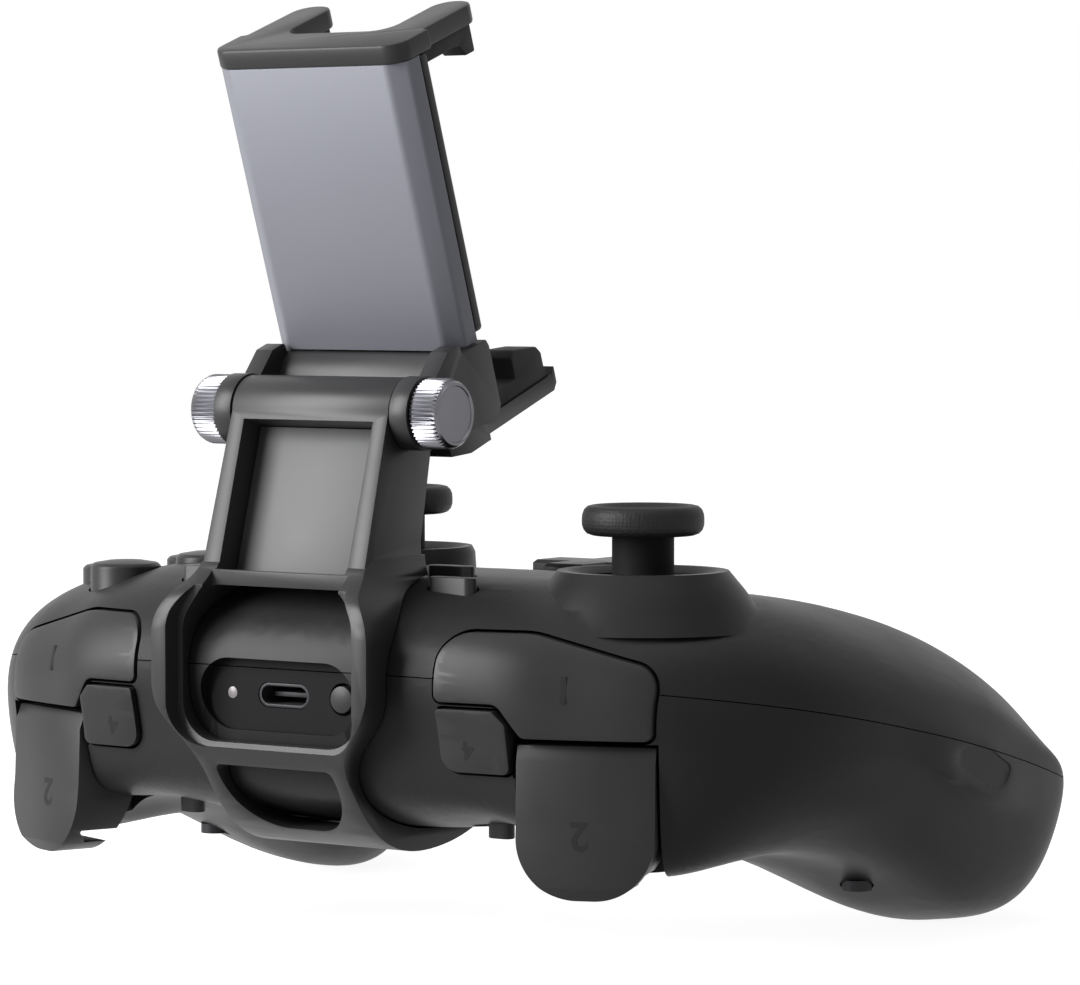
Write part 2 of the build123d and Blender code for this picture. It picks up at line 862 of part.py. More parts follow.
with BuildPart() as trigger:
    with BuildSketch(trigger_side):
        with BuildLine():
            Polyline(
                (-pivot_back, trigger_top),
                (-trigger_bevel_depth, trigger_top),
                (0, trigger_top - trigger_bevel),
                (trigger_flare / 4, (trigger_top + trigger_low) / 2),
                (trigger_flare, trigger_low + trigger_wall),
                (trigger_flare / 2, trigger_low),
                (-trigger_foot, trigger_low),
                (-pivot_back - (trigger_top - trigger_pivot_z), trigger_pivot_z - trigger_wall),
                (-pivot_back - (trigger_top - trigger_pivot_z), trigger_pivot_z),
            )
            RadiusArc(
                (-pivot_back - (trigger_top - trigger_pivot_z), trigger_pivot_z),
                (-pivot_back, trigger_top),
                trigger_top - trigger_pivot_z,
            )
        make_face()
    extrude(amount=trigger_half, both=True)
    with BuildSketch(trigger_face):
        with BuildLine():
            FilletPolyline(
                (-trigger_half, trigger_top + trigger_wall),
                (trigger_half, trigger_top + trigger_wall),
                (trigger_half, trigger_low),
                (-trigger_half, trigger_low),
                radius=(trigger_wall / 2, trigger_wall / 2, trigger_corner, trigger_corner),
                close=True,
            )
        make_face()
    extrude(amount=overrun, both=True, mode=Mode.INTERSECT)
    with BuildSketch(trigger_side):
        with BuildLine():
            Polyline(
                (-trigger_wall - trigger_bevel_depth, trigger_top - trigger_roof),
                (-trigger_wall, trigger_top - trigger_bevel - trigger_roof),
                (trigger_flare / 2 - trigger_wall, trigger_low + trigger_wall * 2),
                (trigger_flare / 2 - trigger_wall * 2, trigger_low + trigger_wall),
                (-overrun, trigger_low + trigger_wall),
                (-overrun, trigger_top - trigger_roof),
                close=True,
            )
        make_face()
    extrude(amount=trigger_half - trigger_wall, both=True, mode=Mode.SUBTRACT)
    add(rod(trigger_axle, trigger_pin_radius + axle_gap, -overrun, overrun), mode=Mode.SUBTRACT)
keep_both(trigger, "trigger")

with BuildPart() as trigger_pin:
    add(rod(trigger_axle, trigger_pin_radius, -trigger_half, trigger_half))
keep_both(trigger_pin, "trigger_pin")

with BuildPart() as trigger_spring:
    add(
        sleeve(
            trigger_axle,
            trigger_pin_radius + axle_gap,
            trigger_coil_radius,
            tower_half + axle_gap,
            trigger_half - trigger_wall - seat_gap,
        )
    )
keep_both(trigger_spring, "trigger_spring")

with BuildPart() as trigger_stop:
    add(slot_form(stop_x, stop_y, stop_length, stop_width, stop_low, stop_low + stop_height))
    add(
        slot_form(
            stop_x,
            stop_y,
            stop_length + stop_flange * 2,
            stop_width + stop_flange * 2,
            stop_low + stop_height,
            stop_low + stop_height + stop_flange_height,
        )
    )
keep_both(trigger_stop, "trigger_stop")

# Thumb sticks
for name, x, y in stick_places:
    centre = upright(x, y, pivot_z)
    pivot = Location((x, y, pivot_z))
    floor = board_top - pivot_z
    half = housing_size / 2
    inside = half - housing_wall
    carrier_half = inside - seat_gap
    carrier_inside = carrier_half - carrier_wall
    yoke_half = carrier_inside - seat_gap - yoke_wall / 2
    yoke_inside = yoke_half - yoke_wall
    x_axle = Plane(origin=(x, y, pivot_z), x_dir=(0, 1, 0), z_dir=(0, 0, -1))
    y_axle = Plane(origin=(x, y, pivot_z), x_dir=(1, 0, 0), z_dir=(0, 0, 1))

    with BuildPart() as stick_housing:
        add(block((-half, -half, floor), (half, half, housing_rise)).moved(pivot))
        hollow = block((-inside, -inside, floor + housing_wall), (inside, inside, overrun))
        add(hollow.moved(pivot), mode=Mode.SUBTRACT)
        switch_top = -carrier_drop - stick_click - axle_gap * 2
        switch_half = switch_size / 2
        switch = block((-carrier_half, -switch_half, floor), (carrier_half, switch_half, switch_top))
        add(switch.moved(pivot))
    keep(stick_housing, f"{name}_stick_housing")

    with BuildPart() as stick_carrier:
        low_corner = (-carrier_half, -carrier_half, -carrier_drop)
        add(block(low_corner, (carrier_half, carrier_half, carrier_rise)).moved(pivot))
        low_corner = (-carrier_inside, -carrier_inside, -overrun)
        hollow = block(low_corner, (carrier_inside, carrier_inside, overrun))
        add(hollow.moved(pivot), mode=Mode.SUBTRACT)
        add(rod(x_axle, trunnion_radius + axle_gap, -carrier_half, carrier_half), mode=Mode.SUBTRACT)
    keep(stick_carrier, f"{name}_stick_carrier")

    with BuildPart() as stick_yoke:
        ring = block((-yoke_half, -yoke_half, -yoke_height / 2), (yoke_half, yoke_half, yoke_height / 2))
        hollow = block((-yoke_inside, -yoke_inside, -overrun), (yoke_inside, yoke_inside, overrun))
        add(ring.moved(pivot))
        add(rod(x_axle, trunnion_radius, -carrier_half + axle_gap, carrier_half - axle_gap))
        add(hollow.moved(pivot), mode=Mode.SUBTRACT)
        add(rod(y_axle, trunnion_radius + axle_gap, -yoke_half, yoke_half), mode=Mode.SUBTRACT)
    keep(stick_yoke, f"{name}_stick_yoke")

    inner_dome = dome_radius - dome_thickness
    with BuildPart() as stick:
        with Locations((x, y, pivot_z)):
            Sphere(dome_radius)
            Sphere(inner_dome, mode=Mode.SUBTRACT)
        low_corner = (-dome_radius, -dome_radius, -dome_radius)
        add(block(low_corner, (dome_radius, dome_radius, dome_rim_rise)).moved(pivot), mode=Mode.SUBTRACT)
        add(rod(centre, stem_radius, inner_dome, cap_bottom - pivot_z))
        add(rod(centre, core_radius, cap_bottom - pivot_z, cap_bottom - pivot_z + core_height))
        add(
            turned(
                centre,
                [
                    (0, -hub_half_height),
                    (neck_radius, -hub_half_height),
                    (neck_radius, yoke_height),
                    (stem_radius, inner_dome + dome_thickness / 2),
                    (0, inner_dome + dome_thickness / 2),
                ],
            )
        )
        add(rod(y_axle, trunnion_radius, -yoke_half + axle_gap, yoke_half - axle_gap))
    keep(stick, f"{name}_stick")

    with BuildPart() as stick_cap:
        low = cap_bottom - pivot_z
        high = cap_top - pivot_z
        add(
            turned(
                centre,
                [
                    (core_radius, low),
                    (cap_radius - cap_rim_round, low),
                    (cap_radius, low + cap_rim_round),
                    (cap_radius, high - cap_rim_round),
                    (cap_radius - cap_rim_round, high),
                    (cap_dish_radius, high - cap_dish / 2),
                    (0, high - cap_dish),
                    (0, low + core_height),
                    (core_radius, low + core_height),
                ],
            )
        )
    keep(stick_cap, f"{name}_stick_cap")

# Face buttons and their membrane
collar_top = tube_low - seat_gap - button_flange_height - button_travel - axle_gap * 2
for name, x, y in button_places:
    top = button_plane - button_side_fall * (x - outer_x)
    flange_top = tube_low - seat_gap
    flange_radius = button_radius + button_flange
    with BuildPart() as face_button:
        add(
            turned(
                upright(x, y),
                [
                    (0, flange_top - button_flange_height),
                    (flange_radius, flange_top - button_flange_height),
                    (flange_radius, flange_top),
                    (button_radius, flange_top),
                    (button_radius, top - button_crown * 2),
                    (button_radius - button_crown, top - button_crown),
                    (button_radius / 2, top - button_crown / 4),
                    (0, top),
                ],
            )
        )
    keep(face_button, f"{name}_face_button")

with BuildPart() as button_membrane:
    with BuildSketch(Plane.XY.offset(board_top)):
        with Locations((outer_x, outer_y)):
            RectangleRounded((button_spacing + collar_radius) * 2, collar_radius * 2, collar_radius / 2)
            RectangleRounded(collar_radius * 2, (button_spacing + collar_radius) * 2, collar_radius / 2)
    extrude(amount=membrane_height)
    for name, x, y in button_places:
        add(rod(upright(x, y), collar_radius, board_top, collar_top))
keep(button_membrane, "button_membrane")

# Direction pad on its gimbal
gimbal_half = gimbal_size / 2
tab_near = gimbal_half + gimbal_gap
tab_far = tab_near + gimbal_tab
cross_place = Location((-inner_x, inner_y, cross_pivot_z))
cross_x_axle = Plane(origin=(-inner_x, inner_y, cross_pivot_z), x_dir=(0, 1, 0), z_dir=(0, 0, -1))
cross_y_axle = Plane(origin=(-inner_x, inner_y, cross_pivot_z), x_dir=(1, 0, 0), z_dir=(0, 0, 1))
cross_low = cross_top - cross_thickness - cross_pivot_z

with BuildPart() as direction_post:
    post_top = -gimbal_half - gimbal_tab - gimbal_gap
    post_plane = upright(-inner_x, inner_y, cross_pivot_z)
    add(rod(post_plane, gimbal_post_radius, board_top - cross_pivot_z, post_top))
    for side in (-1, 1):
        near = min(side * tab_near, side * tab_far)
        tab = block((near, -gimbal_tab, post_top), (near + gimbal_tab, gimbal_tab, gimbal_tab))
        add(tab.moved(cross_place))
    add(rod(cross_x_axle, trunnion_radius + axle_gap, -tab_far, tab_far), mode=Mode.SUBTRACT)
keep(direction_post, "direction_pad_post")

with BuildPart() as direction_gimbal:
    corner = (gimbal_half, gimbal_half, gimbal_tab)
    add(block((-gimbal_half, -gimbal_half, -gimbal_tab), corner).moved(cross_place))
    add(rod(cross_x_axle, trunnion_radius, -tab_far + axle_gap, tab_far - axle_gap))
    add(rod(cross_y_axle, trunnion_radius, -tab_far + axle_gap, tab_far - axle_gap))
keep(direction_gimbal, "direction_pad_gimbal")

with BuildPart() as direction_pad:
    with BuildSketch(Plane.XY.offset(cross_pivot_z + cross_low)):
        with Locations((-inner_x, inner_y)):
            Rectangle(cross_half * 2, cross_width)
            Rectangle(cross_width, cross_half * 2)
    extrude(amount=cross_thickness)
    chamfer(direction_pad.faces().sort_by(Axis.Z)[-1].edges(), length=button_crown)
    for side in (-1, 1):
        near = min(side * tab_near, side * tab_far)
        tab = block((-gimbal_tab, near, -gimbal_tab), (gimbal_tab, near + gimbal_tab, cross_low))
        add(tab.moved(cross_place))
    add(rod(cross_y_axle, trunnion_radius + axle_gap, -tab_far, tab_far), mode=Mode.SUBTRACT)
keep(direction_pad, "direction_pad")

# Pill-shaped buttons
for name, x, y, top in pill_places:
    flange_top = top - pill_height + pill_flange_height
    with BuildPart() as pill_button:
        add(slot_form(x, y, pill_length, pill_width, top - pill_height, top))
        add(
            slot_form(
                x,
                y,
                pill_length + pill_flange * 2,
                pill_width + pill_flange * 2,
                top - pill_height,
                flange_top,
            )
        )
    keep_both(pill_button, f"{name}_pill_button")

# Main board, battery and vibration motors
board_outline = (
    (board_half, board_front),
    (board_half, wing_front),
    (wing_end, wing_front),
    (wing_end, wing_back),
    (board_half, wing_back),
    (board_half, board_back),
)
with BuildPart() as main_board:
    with BuildSketch(Plane.XY.offset(board_low)):
        with BuildLine():
            Polyline(*board_outline, *[(-x, y) for x, y in reversed(board_outline)], close=True)
        make_face()
        with Locations((middle_screw_x, middle_screw_y), (-middle_screw_x, middle_screw_y)):
            Circle(post_radius + seat_gap, mode=Mode.SUBTRACT)
    extrude(amount=board_thickness)
keep(main_board, "main_board")

with BuildPart() as battery:
    battery_top = board_low - seat_gap
    add(
        block(
            (-battery_length / 2, battery_y - battery_depth / 2, battery_top - battery_height),
            (battery_length / 2, battery_y + battery_depth / 2, battery_top),
        )
    )
    fillet(battery.edges().filter_by(Axis.X), radius=battery_height / 4)
keep(battery, "battery")

with BuildPart() as motor:
    add(rod(upright(motor_x, motor_y), motor_radius, motor_z, motor_z + motor_length))
    chamfer(motor.faces().sort_by(Axis.Z)[-1].edges(), length=motor_chamfer)
keep_both(motor, "vibration_motor")

with BuildPart() as shell_screws:
    for x, y, foot in screw_places:
        for side in (-1, 1):
            low = foot + screw_sink
            neck = low + screw_head_height
            add(
                turned(
                    upright(side * x, y),
                    [
                        (0, low),
                        (screw_head_radius, low),
                        (screw_head_radius, neck),
                        (screw_radius - axle_gap, neck),
                        (screw_radius - axle_gap * 2, post_split + screw_bite - axle_gap),
                        (0, post_split + screw_bite - axle_gap),
                    ],
                )
            )
keep(shell_screws, "shell_screws")

# Charging port, its light and the pairing button
with BuildPart() as charging_port:
    port_back = recess_floor_y - port_depth + board_gap
    port_front = recess_floor_y - board_gap
    add(front_slot(0, port_z, port_width, port_height, port_back, port_front))
    add(
        front_slot(
            0,
            port_z,
            port_width - port_shell * 2,
            port_height - port_shell * 2,
            port_back + port_shell,
            port_front,
        ),
        mode=Mode.SUBTRACT,
    )
    add(
        block(
            (-blade_width / 2, port_back, port_z - blade_height / 2),
            (blade_width / 2, port_back + blade_length, port_z + blade_height / 2),
        )
    )
keep(charging_port, "charging_port")

with BuildPart() as status_light:
    add(rod(light_plane, light_radius, -light_length, 0))
keep(status_light, "status_light")

with BuildPart() as pair_button:
    back = -recess_backing - seat_gap
    flange_radius = pair_radius + pair_flange
    add(
        turned(
            pair_plane,
            [
                (0, -pair_length),
                (pair_radius, -pair_length),
                (pair_radius, back - pair_flange_thickness),
                (flange_radius, back - pair_flange_thickness),
                (flange_radius, back),
                (pair_radius, back),
                (pair_radius, pair_travel),
                (0, pair_travel),
            ],
        )
    )
keep(pair_button, "pair_button")

# Clip frame with the arm that rises from it
frame_side = [(y * frame_front, z * frame_top) for y, z in frame_side_shares]
with BuildPart() as clip_frame:
    with BuildSketch(Plane.YZ):
        with BuildLine():
            Spline(*frame_side)
            Polyline(
                frame_side[-1],
                (hook_end_y, frame_side[-1][1] + wall * 2),
                (hook_back, (frame_side[0][1] + frame_side[-1][1]) / 2),
                (hook_back, frame_top),
                (frame_side[0][0] - wall, frame_top),
                frame_side[0],
            )
        make_face()
    extrude(amount=frame_half, both=True)
    half_outline = (
        (frame_hook_half, frame_top + overrun),
        (frame_hook_half, frame_hook_z),
        (frame_half, frame_shoulder_z),
        (frame_half, frame_waist_z),
        (frame_leg_half, frame_leg_z),
        (frame_leg_half, -overrun),
    )
    with BuildSketch(Plane.XZ.offset(-half_depth)):
        with BuildLine():
            FilletPolyline(
                *half_outline,
                *[(-x, z) for x, z in reversed(half_outline)],
                radius=frame_corner,
                close=True,
            )
        make_face()
    extrude(amount=half_depth * 2, mode=Mode.INTERSECT)
    add(clip_form, mode=Mode.SUBTRACT)
    for inset, front in ((window_step, frame_front + overrun), (0, frame_front + overrun)):
        near = hook_back if inset else window_step_y
        window = (
            (window_top_half - inset, window_top - inset),
            (window_half - inset, frame_shoulder_z - inset),
            (window_half - inset, window_low + inset),
            (inset - window_half, window_low + inset),
            (inset - window_half, frame_shoulder_z - inset),
            (inset - window_top_half, window_top - inset),
        )
        corners = (window_corner / 3, *[window_corner] * 4, window_corner / 3)
        add(prism(Plane.XZ, window, -near, -front, corners), mode=Mode.SUBTRACT)
    foot_gap = (
        (foot_gap_half, frame_top + overrun),
        (foot_gap_half, window_top - window_corner),
        (-foot_gap_half, window_top - window_corner),
        (-foot_gap_half, frame_top + overrun),
    )
    add(prism(Plane.XZ, foot_gap, -foot_gap_back, -frame_front - overrun), mode=Mode.SUBTRACT)
    leg_inner = frame_leg_half - leg_width
    leg_window = (
        (leg_inner, window_low - strip_height),
        (leg_inner, leg_window_low),
        (-leg_inner, leg_window_low),
        (-leg_inner, window_low - strip_height),
    )
    corners = (wall / 2, leg_window_corner, leg_window_corner, wall / 2)
    add(prism(Plane.XZ, leg_window, -hook_back, -frame_front - overrun, corners), mode=Mode.SUBTRACT)

arm_side = (
    (arm_foot_y, arm_foot_z),
    (hinge_y + barrel_radius, hinge_z),
    (hinge_y - barrel_radius, hinge_z),
    (hinge_y - barrel_radius, arm_back_z),
    (arm_waist_y, arm_waist_z),
    (arm_waist_y, arm_foot_z),
)
arm_slope = sqrt((arm_foot_y - hinge_y - barrel_radius) ** 2 + (hinge_z - arm_foot_z) ** 2)
arm_rise = Vector(0, hinge_y + barrel_radius - arm_foot_y, hinge_z - arm_foot_z).normalized()
arm_normal = Vector(0, arm_rise.Z, -arm_rise.Y)
arm_face = Plane(origin=(0, arm_foot_y, arm_foot_z), x_dir=(-1, 0, 0), z_dir=arm_normal)
hinge_line = sideways(0, hinge_y, hinge_z)
pocket = (
    (pocket_foot_half, -overrun / 2),
    (pocket_foot_half, 0),
    (pocket_half, arm_slope - pocket_rim),
    (-pocket_half, arm_slope - pocket_rim),
    (-pocket_foot_half, 0),
    (-pocket_foot_half, -overrun / 2),
)
with BuildPart() as bracket_arm:
    add(prism(Plane.YZ, arm_side, -arm_foot_half, arm_foot_half))
    with BuildSketch(arm_face):
        with BuildLine():
            Polyline(
                (arm_foot_half, -overrun),
                (arm_foot_half, 0),
                (arm_half, arm_slope),
                (arm_half, arm_slope + overrun),
                (-arm_half, arm_slope + overrun),
                (-arm_half, arm_slope),
                (-arm_foot_half, 0),
                (-arm_foot_half, -overrun),
                close=True,
            )
        make_face()
    extrude(amount=overrun, both=True, mode=Mode.INTERSECT)
    add(rod(hinge_line, barrel_radius, -arm_half, arm_half))
    add(clip_form, mode=Mode.SUBTRACT)
with BuildPart() as bracket:
    add([clip_frame.part, bracket_arm.part])
    add(prism(arm_face, pocket[1:5], -pocket_depth, overrun), mode=Mode.SUBTRACT)
    add(rod(hinge_line, bolt_radius + axle_gap, -arm_foot_half, arm_foot_half), mode=Mode.SUBTRACT)
keep(bracket, "clip_bracket")

with BuildPart() as arm_panel:
    panel = [(x - panel_gap if x > 0 else x + panel_gap, y) for x, y in pocket[1:5]]
    panel = [(x, y - panel_gap if y > 0 else y + panel_gap) for x, y in panel]
    add(prism(arm_face, panel, -pocket_depth, panel_thickness - pocket_depth))
keep(arm_panel, "arm_panel")

# Tilt hinge
with BuildPart() as hinge_bolt:
    add(rod(hinge_line, bolt_radius, -bolt_half, bolt_half))
keep(hinge_bolt, "hinge_bolt")

with BuildPart() as friction_washers:
    washer_start = (ear_inner + arm_half - washer_thickness) / 2
    for side in (-1, 1):
        near = min(side * washer_start, side * (washer_start + washer_thickness))
        add(sleeve(hinge_line, bolt_radius + axle_gap, washer_radius, near, near + washer_thickness))
keep(friction_washers, "friction_washers")

with BuildPart() as knob:
    add(
        turned(
            hinge_line,
            [
                (0, knob_inner),
                (knob_radius, knob_inner),
                (knob_radius, knob_outer - knob_chamfer),
                (knob_radius - knob_chamfer, knob_outer),
                (0, knob_outer),
            ],
        )
    )
    with BuildSketch(Plane.YZ.offset(knob_inner)):
        with Locations((hinge_y, hinge_z)):
            with PolarLocations(knob_radius, knob_flutes):
                Circle(flute_radius)
    extrude(amount=knob_outer - knob_inner - knob_chamfer, mode=Mode.SUBTRACT)
    add(rod(hinge_line, bolt_radius + axle_gap, 0, bolt_half + axle_gap), mode=Mode.SUBTRACT)
keep_both(knob, "hinge_knob")

# Phone holder. The side plane's X runs towards the player, square to the plate, and its Y runs up the plate.
tilt = radians(lean)
towards = Vector(0, -cos(tilt), sin(tilt))
upwards = Vector(0, sin(tilt), cos(tilt))
hinge_point = Vector(0, hinge_y, hinge_z)
holder_side = Plane(origin=hinge_point, x_dir=towards, z_dir=(-1, 0, 0))


def level(rise):
    """A plane square to the plate. Its X runs along X, and its Y towards the player."""
    return Plane(origin=hinge_point + upwards * rise, x_dir=(1, 0, 0), z_dir=-upwards)


def plate_plane(reach):
    """A plane along the plate. Its X runs along X, and its Y up the plate."""
    return Plane(origin=hinge_point + towards * reach, x_dir=(1, 0, 0), z_dir=towards)


def rod_plane(x):
    return Plane(origin=hinge_point + towards * rod_reach + Vector(x, 0, 0), x_dir=(1, 0, 0), z_dir=towards)


inner_reach = plate_front + plate_skin
cover_reach = plate_back - cover_thickness
rod_reach = (inner_reach + cover_reach) / 2
wall_points = [(reach * plate_back, rise * plate_back) for reach, rise in wall_shares]

with BuildPart() as holder_base:
    with BuildSketch(holder_side):
        with BuildLine():
            FilletPolyline(*wall_points, radius=wall / 4, close=True)
        make_face()
        Circle(ear_radius)
    extrude(amount=ear_outer, both=True)
    with BuildSketch(holder_side):
        with BuildLine():
            Polyline(
                (-overrun, -overrun),
                (plate_back + overrun, -overrun),
                (plate_back + overrun, overrun),
                (-overrun, overrun),
                close=True,
            )
        make_face()
    extrude(amount=ear_inner, both=True, mode=Mode.SUBTRACT)
    with BuildSketch(holder_side):
        with BuildLine():
            ThreePointArc(
                (plate_front, plate_low - seat_gap),
                (base_front + (plate_front - base_front) / 4, plate_low * 2 / 3),
                (base_front - barrel_gap * 2, 0),
            )
            Polyline(
                (base_front - barrel_gap * 2, 0),
                (base_front - barrel_gap, lower_top - lower_thickness / 2),
                (inner_reach, lower_top - lower_thickness),
                (plate_back, lower_top - lower_thickness),
                (plate_back, plate_low - seat_gap),
                (plate_front, plate_low - seat_gap),
            )
        make_face()
        Circle(barrel_radius + barrel_gap, mode=Mode.SUBTRACT)
    extrude(amount=ear_inner, both=True)
    with BuildSketch(holder_side):
        with BuildLine():
            Polyline(
                (plate_front, lower_top),
                (lower_reach - lower_lip, lower_top),
                (lower_reach, lower_top + lower_lip),
                (lower_reach, lower_top - lower_thickness + lower_lip),
                (lower_reach - lower_lip, lower_top - lower_thickness),
                (plate_front, lower_top - lower_thickness),
                close=True,
            )
        make_face()
    extrude(amount=lower_half, both=True)
    add(
        prism(
            plate_plane(rod_reach),
            [(-spine_half, 0), (spine_half, 0), (spine_half, spine_rise), (-spine_half, spine_rise)],
            -spine_thickness / 2,
            spine_thickness / 2,
        )
    )
    for side in (-1, 1):
        add(rod(rod_plane(side * rod_x), rod_radius + axle_gap, 0, plate_low), mode=Mode.SUBTRACT)
    add(rod(hinge_line, bolt_radius + axle_gap, -ear_outer, ear_outer), mode=Mode.SUBTRACT)
keep(holder_base, "holder_base")

with BuildPart() as guide_rods:
    for side in (-1, 1):
        add(rod(rod_plane(side * rod_x), rod_radius, wall, spine_rise))
keep(guide_rods, "guide_rods")

with BuildPart() as return_springs:
    spring_high = plate_low + spring_rise
    for side in (-1, 1):
        add(sleeve(rod_plane(side * rod_x), rod_radius + axle_gap, spring_radius, plate_low, spring_high))
keep(return_springs, "return_springs")

with BuildPart() as lower_pads:
    pad_low = lower_top
    pad_high = lower_top + pad_thickness
    hook_outline = (
        (lower_pad_start, pad_low),
        (lower_reach - lower_lip, pad_low),
        (lower_reach - lower_lip * 2, pad_high - lower_lip),
        (lower_hook_end, pad_high),
        (lower_hook_end, pad_high + lower_hook_rise / 3),
        (lower_hook_end - lower_lip, pad_high + lower_hook_rise - lower_hook_slope),
        (lower_hook_start + lower_lip, pad_high + lower_hook_rise),
        (lower_hook_start, pad_high + lower_hook_rise - lower_lip),
        (lower_hook_start, pad_high),
        (lower_pad_start, pad_high),
    )
    for side in (-1, 1):
        near, far = sorted((-side * pad_inner, -side * pad_outer))
        add(prism(holder_side, hook_outline, near, far))
keep(lower_pads, "lower_jaw_pads")

# Sliding plate with its cover and the upper jaw
plate_outline = (
    (-plate_flat_half, plate_front),
    (plate_flat_half, plate_front),
    (plate_half, plate_front + plate_facet),
    (plate_half, cover_reach),
    (-plate_half, cover_reach),
    (-plate_half, plate_front + plate_facet),
)
plate_hollow = (
    (-plate_flat_half, inner_reach),
    (plate_flat_half, inner_reach),
    (plate_half - plate_skin, plate_front + plate_facet + plate_skin / 2),
    (plate_half - plate_skin, cover_reach + overrun),
    (plate_skin - plate_half, cover_reach + overrun),
    (plate_skin - plate_half, plate_front + plate_facet + plate_skin / 2),
)
corners = (plate_facet, plate_facet, plate_facet / 2, plate_facet / 4, plate_facet / 4, plate_facet / 2)
runner_outline = (
    (spine_half + slide_gap, inner_reach - plate_skin / 2),
    (plate_flat_half, inner_reach - plate_skin / 2),
    (plate_half - plate_skin / 2, plate_front + plate_facet + plate_skin / 2),
    (plate_half - plate_skin / 2, cover_reach),
    (spine_half + slide_gap, cover_reach),
)
with BuildPart() as slide_plate:
    add(prism(level(0), plate_outline, -plate_high, -plate_low, corners))
    add(prism(level(0), plate_hollow, plate_skin - plate_high, 0), mode=Mode.SUBTRACT)
    runner_low = plate_high - plate_skin - runner_height
    rod_hole_high = spine_rise + seat_gap
    for side in (-1, 1):
        runner = [(side * x, y) for x, y in runner_outline][::side]
        add(prism(level(0), runner, -plate_high, -runner_low))
        rod_hole = rod(rod_plane(side * rod_x), rod_radius + axle_gap, plate_low, rod_hole_high)
        add(rod_hole, mode=Mode.SUBTRACT)
keep(slide_plate, "slide_plate")

with BuildPart() as plate_cover:
    cover_low = plate_low + cover_inset
    cover = [(-plate_half, cover_low), (plate_half, cover_low)]
    cover += [(plate_half, plate_high), (-plate_half, plate_high)]
    add(prism(plate_plane(0), cover, cover_reach, plate_back, cover_thickness / 2))
keep(plate_cover, "plate_cover")

with BuildPart() as rest_pad:
    pad = (
        (-rest_pad_half, plate_low + rest_pad_margin),
        (rest_pad_half, plate_low + rest_pad_margin),
        (rest_pad_half, plate_high - rest_pad_margin),
        (-rest_pad_half, plate_high - rest_pad_margin),
    )
    add(prism(plate_plane(0), pad, plate_back, plate_back + rest_pad_thickness, rest_pad_margin / 2))
keep(rest_pad, "rest_pad")

jaw_half_outline = (
    (jaw_half, plate_front),
    (jaw_half, plate_front + jaw_strip),
    (claw_outer, plate_front + jaw_strip),
    (claw_outer, jaw_reach),
    (claw_inner, jaw_reach),
    (claw_inner, plate_front + jaw_strip),
)
edge = (jaw_half - claw_outer) * 2 / 5
jaw_corners = (jaw_corner, edge, edge, jaw_corner, jaw_corner, jaw_corner)
with BuildPart() as upper_jaw:
    with BuildSketch(level(plate_high)):
        with BuildLine():
            FilletPolyline(
                *jaw_half_outline,
                *[(-x, y) for x, y in reversed(jaw_half_outline)],
                radius=(*jaw_corners, *reversed(jaw_corners)),
                close=True,
            )
        make_face()
    extrude(amount=-jaw_thickness)
keep(upper_jaw, "upper_jaw")

with BuildPart() as upper_pads:
    pad_high = plate_high
    pad_low = plate_high - pad_thickness
    hook_outline = (
        (upper_pad_start, pad_high),
        (jaw_reach - upper_pad_margin, pad_high),
        (jaw_reach - upper_pad_margin, pad_low - upper_hook_drop),
        (upper_hook_start + upper_pad_margin, pad_low - upper_hook_drop),
        (upper_hook_start, pad_low),
        (upper_pad_start, pad_low),
    )
    for side in (-1, 1):
        near, far = sorted((-side * (claw_inner + upper_pad_margin), -side * (claw_outer - upper_pad_margin)))
        add(prism(holder_side, hook_outline, near, far))
keep(upper_pads, "upper_jaw_pads")
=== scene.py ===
import json
from math import pi, radians

import bpy
from mathutils import Matrix, Vector


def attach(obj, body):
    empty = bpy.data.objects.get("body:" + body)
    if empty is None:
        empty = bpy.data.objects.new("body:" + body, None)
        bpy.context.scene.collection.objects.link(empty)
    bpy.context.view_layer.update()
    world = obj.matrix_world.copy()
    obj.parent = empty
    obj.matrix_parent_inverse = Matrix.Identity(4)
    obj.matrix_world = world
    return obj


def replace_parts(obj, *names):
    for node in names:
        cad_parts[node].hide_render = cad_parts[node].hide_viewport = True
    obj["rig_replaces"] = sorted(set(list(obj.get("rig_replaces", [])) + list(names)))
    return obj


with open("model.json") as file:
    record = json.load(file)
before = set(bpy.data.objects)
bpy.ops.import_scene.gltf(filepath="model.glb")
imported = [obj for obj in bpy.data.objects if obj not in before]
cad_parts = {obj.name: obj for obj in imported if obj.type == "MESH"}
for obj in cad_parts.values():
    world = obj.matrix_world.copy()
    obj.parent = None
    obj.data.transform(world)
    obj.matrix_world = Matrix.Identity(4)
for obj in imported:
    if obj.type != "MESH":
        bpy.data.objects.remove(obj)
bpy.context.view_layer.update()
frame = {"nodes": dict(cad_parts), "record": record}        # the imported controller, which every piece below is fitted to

mm = 0.001
hingeAxis = (0.0, 40.3, 81.5)  # the middle of the holder's hinge, in mm
bodyOf = {node: body for body, nodes in frame["record"]["behaviour"]["bodies"].items() for node in nodes}
slotOf = {part["node"]: part["material_slot"] for part in frame["record"]["subparts"]}
print("frame loaded:", len(frame["nodes"]), "nodes")

